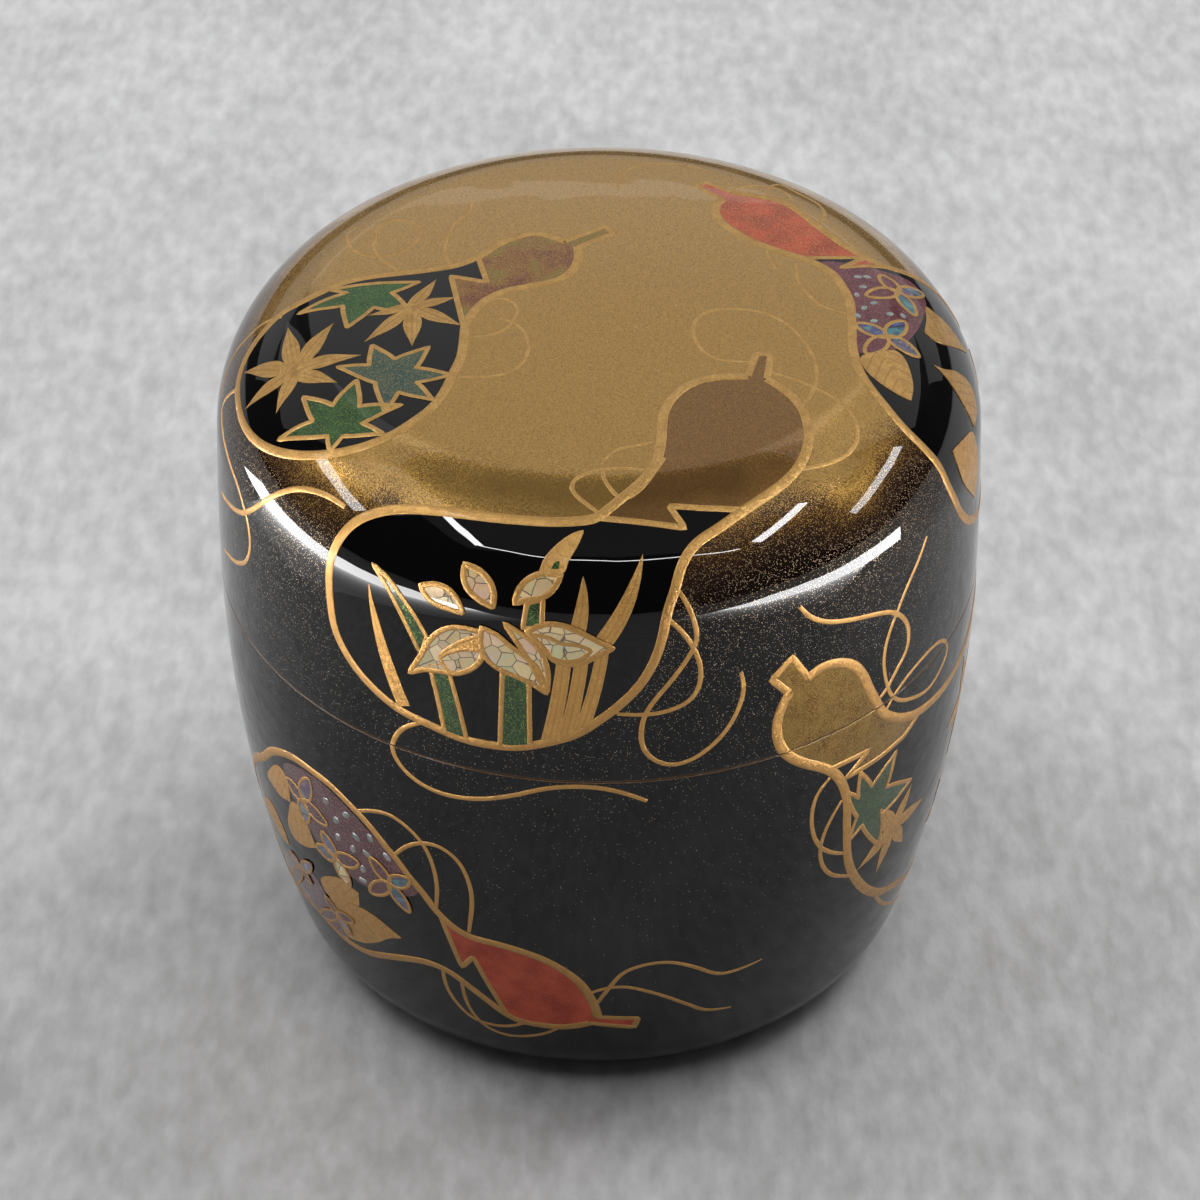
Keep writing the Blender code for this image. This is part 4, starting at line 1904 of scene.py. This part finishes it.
def right_gourd() -> Gourd:
    """The gourd with a hydrangea at the lid's right."""
    gold, violet, sea = Paint.GOLD, Paint.VIOLET, Paint.ABALONE
    figures: list[Figure] = [
        Patch(pixels(822, 262, 850, 264, 885, 272, 912, 283, 925, 300, 923, 318, 913, 336, 893, 351, 862, 354,
            846, 345, 840, 310, 836, 285), violet),
        *flower((898, 292), pixels(880, 275, 866, 296, 923, 294, 915, 316), [violet, violet, sea, sea], 1.45),
        *flower((887, 337), pixels(855, 324, 905, 322, 866, 354, 919, 357), [sea, sea, violet, sea], 1.5),
        Patch(pixels(860, 358, 868, 354, 880, 352, 895, 351, 903, 357, 910, 372, 913, 388, 911, 401, 900, 396,
            885, 387, 872, 377, 864, 368), gold, 0.0, (7,), (2, 7)),
        Patch(pixels(926, 307, 934, 313, 948, 326, 958, 340, 966, 353, 950, 346, 935, 341, 924, 333,
            926, 320), gold, 0.0, (4, 7), (0, 4)),
        Patch(pixels(933, 365, 942, 369, 956, 372, 966, 380, 973, 392, 976, 408, 974, 428, 965, 408, 955, 391,
            946, 378), gold, 0.0, (0, 6), (0, 6)),
        Patch(pixels(952, 451, 961, 441, 972, 432, 976, 446, 977, 470, 974, 498, 963, 482, 957, 465), gold,
            0.0, (0, 5), (2, 5)),
        Leaf(At(98, 57), At(92, 51.0), 3.2, gold, LeafForm.LENS, 0.4),
    ]
    cords = [
        Cord(pixels(730, 190, 747, 186, 770, 187, 787, 193, 793, 202), 0.32),
        Cord(pixels(768, 188, 780, 184, 797, 193, 817, 203, 825, 213, 823, 220, 812, 226), 0.32),
        Cord(pixels(767, 250, 770, 260, 777, 270), 0.30),
        Cord(pixels(797, 263, 797, 277, 807, 293, 823, 307, 846, 313), 0.32),
        Cord(pixels(710, 172, 700, 168, 670, 164, 640, 165, 622, 173, 618, 190), 0.28),
    ]
    studs = pixels(858, 277, 867, 277, 863, 287, 857, 295, 874, 303, 864, 308, 890, 314, 858, 316, 903, 316,
        874, 321)
    return Gourd(
        "right_gourd",
        outline=[*pixels(732, 192, 750, 195, 777, 200, 793, 207, 810, 220, 827, 233, 847, 247, 870, 260,
            883, 266, 903, 272, 923, 282, 937, 293, 950, 310, 960, 327), At(103.5, 57.5), At(104.5, 54.5),
            At(103, 51.5), At(98, 49.2), At(92, 47.9), At(86, 47.2), At(80, 47.3), *pixels(970, 520, 963, 516,
            955, 500, 947, 483, 940, 467, 923, 447, 903, 427, 883, 403, 867, 383, 858, 367, 853, 347,
            852, 320, 850, 300, 843, 287, 833, 273, 820, 265, 803, 258, 783, 252, 757, 243, 737, 233,
            723, 223, 715, 212, 717, 203, 723, 200)],
        stalk=pixels(723, 200, 697, 186, 706, 182, 732, 192),
        divider=pixels(806, 258, 865, 258, 840, 268, 920, 279),
        small_ground=Ground.VERMILION, cords=cords, figures=figures, studs=(studs, 0.75), line=0.80,
    )


def seam_gourd() -> Gourd:
    """The gourd with maple leaves at the right, across the seam."""
    gold, green = Paint.GOLD, Paint.GREEN
    figures: list[Figure] = [
        MapleLeaf((864, 812), pixels(845, 792, 860, 772, 896, 751, 911, 779, 878, 846, 848, 842), green, 0.45,
            0.5, 0.02),
        MapleLeaf((893, 826), pixels(912, 782, 924, 796, 902, 842, 875, 874, 856, 871, 880, 808), gold),
        MapleLeaf(At(78, 28), [At(68, 28.5), At(74, 34), At(84, 34.5), At(89, 28), At(84, 22), At(74, 22.5)],
            gold),
        MapleLeaf(At(90, 20), [At(81, 20), At(86, 25.5), At(95, 25), At(99, 19.5), At(93, 14), At(84, 15)],
            green, 0.45),
        MapleLeaf(At(101, 30), [At(92, 30), At(96, 36), At(105, 35), At(110, 29), At(103, 24), At(95, 24.5)],
            gold),
        MapleLeaf(At(76, 15.5), [At(70, 16), At(73, 20), At(79, 20), At(83, 15), At(78, 11.5)], gold),
    ]
    cords = [
        Cord(pixels(800, 607, 810, 617, 827, 622, 850, 620, 873, 615, 890, 612, 900, 615, 907, 623, 909, 633,
            907, 650, 898, 667, 888, 687, 876, 703), 0.46),
        Cord(pixels(927, 536, 920, 557, 907, 587, 897, 613, 888, 637, 884, 660, 886, 680, 890, 693, 898, 700,
            913, 698, 930, 687, 940, 670, 947, 653, 947, 643, 940, 641, 927, 653, 910, 673, 893, 697,
            885, 713), 0.40),
        Cord(pixels(830, 778, 818, 793, 812, 813, 813, 833, 820, 847, 833, 853, 847, 853)),
        Cord(pixels(842, 800, 832, 817, 823, 837, 820, 853, 823, 867, 832, 875, 849, 876)),
        Cord(pixels(873, 893, 882, 903, 897, 897, 912, 884)),
    ]
    return Gourd(
        "seam_gourd",
        outline=[*pixels(808, 678, 820, 668, 837, 663, 853, 665, 863, 675, 870, 690, 877, 703, 883, 713,
            897, 718, 913, 715, 930, 703, 947, 683), At(74, 35.6), At(84, 37.6), At(94, 38.2), At(103, 36.8),
            At(110, 33), At(113, 27.5), At(112, 21.5), At(106, 16), At(97, 12.2), At(87, 9.9), At(77, 9.3),
            *pixels(907, 873, 893, 885, 880, 892, 867, 890, 855, 878, 848, 860, 847, 840, 847, 820, 847, 800,
            842, 783, 833, 772, 820, 767, 800, 762, 785, 753, 778, 740, 777, 723, 782, 707, 789, 693)],
        stalk=pixels(789, 693, 772, 680, 792, 658, 808, 678),
        divider=pixels(828, 770, 869, 750, 846, 778, 880, 757, 905, 735, 919, 713),
        small_ground=Ground.OLD_GOLD, cords=cords, figures=figures, line=0.95,
    )


def low_gourd() -> Gourd:
    """The gourd with hydrangeas at the left of the body."""
    gold, violet, sea, shell = Paint.GOLD, Paint.VIOLET, Paint.ABALONE, Paint.NACRE
    figures: list[Figure] = [
        Patch(pixels(284, 764, 300, 768, 322, 783, 345, 805, 368, 830, 386, 850, 402, 872, 418, 893, 400, 896,
            380, 892, 362, 884, 346, 872, 330, 858, 318, 842, 308, 826, 298, 806, 288, 786), violet),
        Patch(pixels(288, 848, 304, 862, 318, 880, 330, 900, 352, 922, 352, 938, 334, 928, 316, 908, 300, 885,
            288, 862), violet),
        Patch(pixels(270, 769, 278, 765, 284, 772, 288, 784, 291, 802, 280, 795, 273, 785, 268, 776), gold,
            0.0, (4,), (1, 4)),
        Patch(pixels(292, 801, 299, 806, 304, 816, 309, 828, 313, 838, 317, 848, 305, 846, 295, 838, 289, 826,
            289, 812), gold, 0.0, (5,), (0, 5)),
        Patch(pixels(265, 795, 272, 803, 279, 817, 285, 831, 290, 845, 283, 838, 275, 822, 267, 806), gold,
            0.0, (0, 4), (0, 4)),
        Patch(pixels(321, 879, 331, 876, 341, 879, 350, 886, 359, 893, 360, 906, 345, 901, 332, 898,
            325, 890), gold, 0.0, (4, 5), (0, 5)),
        Patch(pixels(330, 897, 345, 901, 360, 907, 375, 916, 390, 928, 402, 938, 390, 938, 378, 942, 362, 942,
            348, 935, 339, 921, 333, 908), gold, 0.0, (0, 5), (0, 5)),
        *flower((303, 800), pixels(287, 778, 309, 779, 306, 822, 328, 825), [violet, sea, sea, violet], 1.65,
            0.3),
        *flower((336, 858), pixels(323, 831, 317, 846, 359, 862, 350, 886), [sea, sea, violet, shell], 1.6,
            0.34),
        *flower((390, 883), pixels(371, 857, 410, 879, 371, 892, 410, 912), [violet, sea, violet, sea], 1.45,
            0.34),
        *flower((338, 914), pixels(326, 895, 322, 914, 354, 920, 352, 934), [violet, violet, violet, sea],
            1.2, 0.3),
        *flower((303, 868), pixels(291, 852, 296, 880, 312, 864, 313, 884), [sea, violet, sea, violet], 1.15,
            0.28),
    ]
    cords = [
        Cord(pixels(356, 811, 373, 811, 390, 815, 407, 827, 422, 843, 432, 863, 437, 887, 436, 909)),
        Cord(pixels(394, 855, 407, 846, 423, 843, 440, 847, 457, 860, 468, 880, 472, 900, 469, 932)),
        Cord(pixels(442, 966, 447, 987, 457, 1003, 473, 1018, 493, 1025, 512, 1026, 527, 1022)),
        Cord(pixels(461, 978, 465, 997, 473, 1013, 487, 1027, 507, 1035, 530, 1036, 550, 1032, 560, 1027),
            0.38),
        Cord(pixels(588, 994, 607, 988, 627, 987, 650, 992, 664, 996, 690, 1005, 705, 1010, 731, 1007), 0.42,
            end=0.45),
        Cord(pixels(595, 1006, 610, 987, 623, 973, 640, 966, 667, 962, 695, 967, 720, 974, 745, 967,
            762, 959), 0.42, end=0.45),
    ]
    studs = pixels(326, 801, 346, 815, 336, 820, 356, 837, 338, 837, 370, 838, 353, 849, 367, 854, 387, 857,
        363, 869, 363, 880)
    return Gourd(
        "low_gourd",
        outline=[*pixels(598, 1017, 595, 1007, 590, 997, 580, 983, 563, 970, 540, 958, 517, 950, 493, 943,
            473, 938, 457, 930, 443, 918, 433, 907, 423, 893, 410, 878, 397, 860, 383, 843, 367, 823,
            347, 802, 330, 785, 313, 772, 297, 760, 283, 753, 272, 751, 263, 757), At(-69, 24.5), At(-75, 20),
            At(-77, 15), *pixels(293, 877, 310, 900, 327, 920, 347, 940, 367, 952, 387, 956, 410, 959,
            430, 963, 450, 972, 470, 987, 487, 1000, 500, 1010, 517, 1020, 540, 1025, 567, 1027, 590, 1023)],
        stalk=pixels(590, 1023, 634, 1027, 638, 1018, 598, 1017),
        divider=pixels(440, 915, 462, 967, 473, 957, 507, 1014),
        small_ground=Ground.VERMILION, cords=cords, figures=figures, studs=(studs, 1.0), line=0.82,
    )


def back_gourd() -> Gourd:
    """A plainer gourd with gold maple leaves, on the side that the picture doesn't show."""
    bulbs = Bulbs(At(188, 27.0), 38.0, 9.2)
    half = [(1.62, 0.07), (1.55, 0.21), (1.35, 0.36), (1.12, 0.37), (0.93, 0.28), (0.72, 0.36), (0.52, 0.60),
            (0.28, 0.80), (0.0, 0.88), (-0.38, 0.80), (-0.70, 0.55), (-0.88, 0.26)]
    outline = half + [(-0.93, 0.0)] + [(along, -across) for along, across in half[::-1]]

    def leaf(
        along: float, across: float, size: float, turn: float, paint: Paint, rim: float = 0.0
    ) -> MapleLeaf:
        """A maple leaf at a place of the gourd."""
        turns = [math.radians(turn + 52 * i) for i in range(6)]
        tips = [(along + size * math.cos(a), across + size * math.sin(a)) for a in turns]
        spots = bulbs.at([(along, across), *tips])
        return MapleLeaf(spots[0], spots[1:], paint, rim)

    figures: list[Figure] = [
        leaf(-0.45, 0.22, 0.36, 20, Paint.GOLD), leaf(0.05, 0.46, 0.30, 75, Paint.GREEN, 0.4),
        leaf(0.0, -0.20, 0.38, 140, Paint.GOLD), leaf(-0.42, -0.45, 0.27, 10, Paint.BLUE_GREEN, 0.4),
        leaf(0.45, 0.10, 0.30, 100, Paint.GOLD),
    ]
    cords = [
        Cord(bulbs.at([(0.93, 0.28), (0.75, 0.75), (1.0, 1.15), (1.4, 1.1), (1.5, 0.75), (1.2, 0.55),
                       (0.9, 0.9), (0.5, 1.35), (-0.2, 1.5)])),
        Cord(bulbs.at([(0.93, -0.28), (0.95, -0.8), (0.6, -1.15), (0.2, -1.1), (0.15, -0.87)])),
        Cord(bulbs.at([(0.93, -0.28), (1.3, -0.75), (1.9, -0.8), (2.5, -0.5), (3.0, -0.7)]), end=0.4),
    ]
    return Gourd(
        "back_gourd", bulbs.at(outline), bulbs.at([(1.62, -0.07), (2.05, -0.10), (2.05, 0.10), (1.62, 0.07)]),
        bulbs.at([(0.80, 0.31), (0.62, 0.05), (0.82, -0.04), (0.66, -0.40)]),
        Ground.OLD_GOLD, cords, figures, line=0.9,
    )


STUD_SHELL = ShellInlay(
    "stud_shell", 0.0016,
    ((0.0, (0.24, 0.19, 0.22)), (0.35, (0.32, 0.29, 0.28)), (0.65, (0.22, 0.33, 0.30)),
     (1.0, (0.38, 0.33, 0.33))),
    # Crack colour, play of colours, and the painted sheen that the studs give off.
    (0.20, 0.18, 0.17), 0.15, 0.03,
)


def bearing_vector(bearing: float, elevation: float) -> Vector:
    """The direction from the caddy at a bearing from the camera's side and an elevation, in degrees."""
    turn, rise = math.radians(bearing), math.radians(elevation)
    return Vector((math.sin(turn) * math.cos(rise), -math.cos(turn) * math.cos(rise), math.sin(rise)))


class Reach(Enum):
    """What a light does: all of its work, or only the gleams, or only the lighting of what isn't polished."""

    ALL = "all"
    GLEAM = "gleam"
    WASH = "wash"


@dataclass(frozen=True)
class Panel:
    """A soft light between two directions from the caddy, each a bearing and an elevation in degrees.

    The thickness is in degrees too, and away is the distance of its ends.
    """

    name: str
    start: Pair
    end: Pair
    thickness: float
    radiance: float
    away: float = 0.9
    reach: Reach = Reach.ALL

    def build(self, centre: Vector) -> None:
        """Hangs the light facing the caddy."""
        first, second = (centre + self.away * bearing_vector(*end) for end in (self.start, self.end))
        middle = (first + second) / 2
        width = 2 * (middle - centre).length * math.tan(math.radians(self.thickness / 2))
        hang_light(self.name, middle, second - first, middle - centre, width, self.radiance, self.reach)


def hang_light(
    name: str, middle: Vector, along: Vector, back: Vector, width: float, radiance: float, reach: Reach
) -> None:
    """Makes a rectangular light.

    Args:
        name: its name.
        middle: its middle.
        along: its long side, with its length.
        back: the direction that it faces away from.
        width: its short side.
        radiance: how bright its face is.
        reach: what it does.
    """
    data = bpy.data.lights.new(name, "AREA")
    data.shape = "RECTANGLE"
    data.size, data.size_y = along.length, width
    data.energy = radiance * 4 * along.length * width
    x_axis = along.normalized()
    z_axis = (back - back.dot(x_axis) * x_axis).normalized()
    y_axis = z_axis.cross(x_axis)
    light = linked(name, data)
    turn = Matrix((x_axis, y_axis, z_axis)).transposed()
    light.matrix_world = Matrix.Translation(middle) @ turn.to_4x4()
    light.visible_camera = False
    light.visible_diffuse = reach is not Reach.GLEAM
    light.visible_glossy = reach is not Reach.WASH


@dataclass(frozen=True)
class Sheet:
    """A level sheet of light, between two distances to the right of the axis and two behind it.

    One that lies near the table shines up, any other down.
    """

    name: str
    right: Pair
    behind: Pair
    height: float
    radiance: float
    reach: Reach = Reach.ALL

    def build(self) -> None:
        """Hangs the sheet."""
        middle = Vector((sum(self.right) / 2, sum(self.behind) / 2, self.height))
        along = Vector((0.0, self.behind[1] - self.behind[0], 0.0))
        back = Vector((0.0, 0.0, 1.0 if self.height > 0.5 else -1.0))
        hang_light(self.name, middle, along, back, self.right[1] - self.right[0], self.radiance, self.reach)


def fading_sheets(
    name: str, outer: float, edge: float, inner: float, behind: Pair, radiance: float
) -> tuple[Sheet, ...]:
    """A bright strip on the table whose side towards the caddy fades out.

    Args:
        name: its name.
        outer: how far right its outer edge is.
        edge: how far right its full brightness reaches.
        inner: how far right the last of it is.
        behind: where it starts and ends, behind.
        radiance: its brightness.

    Returns:
        The strip and ever dimmer narrow sheets.
    """
    steps, level, fall, inset = 8, 0.001, 0.45, 0.04
    sheets = [Sheet(name, (min(outer, edge), max(outer, edge)), behind, level, radiance, Reach.GLEAM)]
    for i in range(steps):
        first, second = (edge + (inner - edge) * (i + k) / steps for k in (0, 1))
        dimmed = fall * radiance * math.exp(-fall * i)
        right, depth = (min(first, second), max(first, second)), (behind[0], behind[1] - inset)
        sheets.append(Sheet(f"{name}_{i}", right, depth, level, dimmed, Reach.GLEAM))
    return tuple(sheets)


@dataclass
class Studio:
    """The table, the lights and the camera, in a dim room."""

    view: PhotoView
    panels: tuple[Panel, ...] = (
        Panel("left_tube", (-102, 31.5), (-76, 26.5), 5.5, 10.0, reach=Reach.GLEAM),
        Panel("right_tube", (107, 24.5), (78, 19.0), 4.5, 10.0, reach=Reach.GLEAM),
        Panel("left_box", (-63, 53.5), (-40, 41), 2.4, 27.0, reach=Reach.GLEAM),
        Panel("right_box", (76, 43.5), (50, 34.5), 3.2, 23.0, reach=Reach.GLEAM),
        Panel("front_tube_left", (-40, 41), (-12, 42), 0.5, 29.0, reach=Reach.GLEAM),
        Panel("front_tube_middle", (-12, 42), (14, 41), 0.5, 29.0, reach=Reach.GLEAM),
        Panel("front_tube_right", (14, 41), (44, 34), 0.5, 29.0, reach=Reach.GLEAM),
        Panel("left_wall", (-106, 47), (-66, 47), 22.0, 0.8, 1.4),
        Panel("right_wall", (106, 47), (66, 47), 22.0, 0.38, 1.4),
        Panel("back_left", (-152, 38), (-110, 38), 38.0, 0.40, 1.4),
        Panel("back_wall", (152, 38), (-152, 38), 38.0, 0.42, 1.4),
        Panel("back_right", (110, 38), (152, 38), 38.0, 0.45, 1.4),
        Panel("back_low", (130, 11), (-130, 11), 15.0, 0.35, 1.4),
        Panel("wash_left", (-135, 52), (-100, 52), 25.0, 2.0, 1.6, Reach.WASH),
        Panel("wash_right", (135, 52), (100, 52), 25.0, 2.8, 1.6, Reach.WASH),
    )
    sheets: tuple[Sheet, ...] = (
        Sheet("ceiling_back", (-1.3, 1.3), (0.0, 0.9), 1.4, 0.09),
        Sheet("ceiling_front", (-1.2, 1.2), (-1.3, 0.0), 1.4, 0.17, Reach.GLEAM),
        Sheet("wash_top", (-0.5, 0.5), (-0.12, 0.45), 1.4, 3.4, Reach.WASH),
        Sheet("wash_front", (-0.5, 0.5), (-0.75, -0.12), 1.4, 4.1, Reach.WASH),
        *fading_sheets("left_strip", -0.300, -0.180, -0.100, (-0.30, 0.075), 17.0),
        *fading_sheets("right_strip", 0.300, 0.180, 0.100, (-0.30, -0.015), 18.0),
    )
    dim: float = 0.04
    lit_height: float = 0.055
    table_reach: float = 1.5

    def build(self) -> None:
        """Sets up the camera, the lights and the table."""
        self.view.make_camera()
        centre = Vector((0.0, 0.0, self.lit_height))
        for panel in self.panels:
            panel.build(centre)
        for sheet in self.sheets:
            sheet.build()
        world = bpy.data.worlds.new("room")
        world.use_nodes = True
        background = world.node_tree.nodes["Background"]
        background.inputs["Color"].default_value = (self.dim, self.dim, self.dim * 1.03, 1.0)
        bpy.context.scene.world = world
        bpy.context.scene.view_settings.view_transform = "Standard"
        self.lay_table()

    def lay_table(self) -> None:
        """Lays the pale floor under the caddy."""
        mesh = bpy.data.meshes.new("floor")
        reach = self.table_reach
        corners = [(-reach, -reach, 0), (reach, -reach, 0), (reach, reach, 0), (-reach, reach, 0)]
        mesh.from_pydata(corners, [], [(0, 1, 2, 3)])
        mesh.materials.append(Felt().material())
        linked("floor", mesh)


def main() -> None:
    """Builds the studio, the shells and the gourds, in that order."""
    form = TurnedForm()
    view = PhotoView(form)
    bench = Bench(form)
    Studio(view).build()
    trees = {TreeName.TURNED: turned_tree(), TreeName.RAISED: raised_tree(), TreeName.STUDDED: studded_tree()}
    gourds = [front_gourd(), left_gourd(), right_gourd(), seam_gourd(), low_gourd(), back_gourd()]
    brush = Brush(form, view)
    for gourd in gourds:
        gourd.lay_out(brush)
    Shells(form, bench).build(trees[TreeName.TURNED], gourds)
    for gourd in gourds:
        gourd.build(bench, trees)


if __name__ == "__main__":
    main()
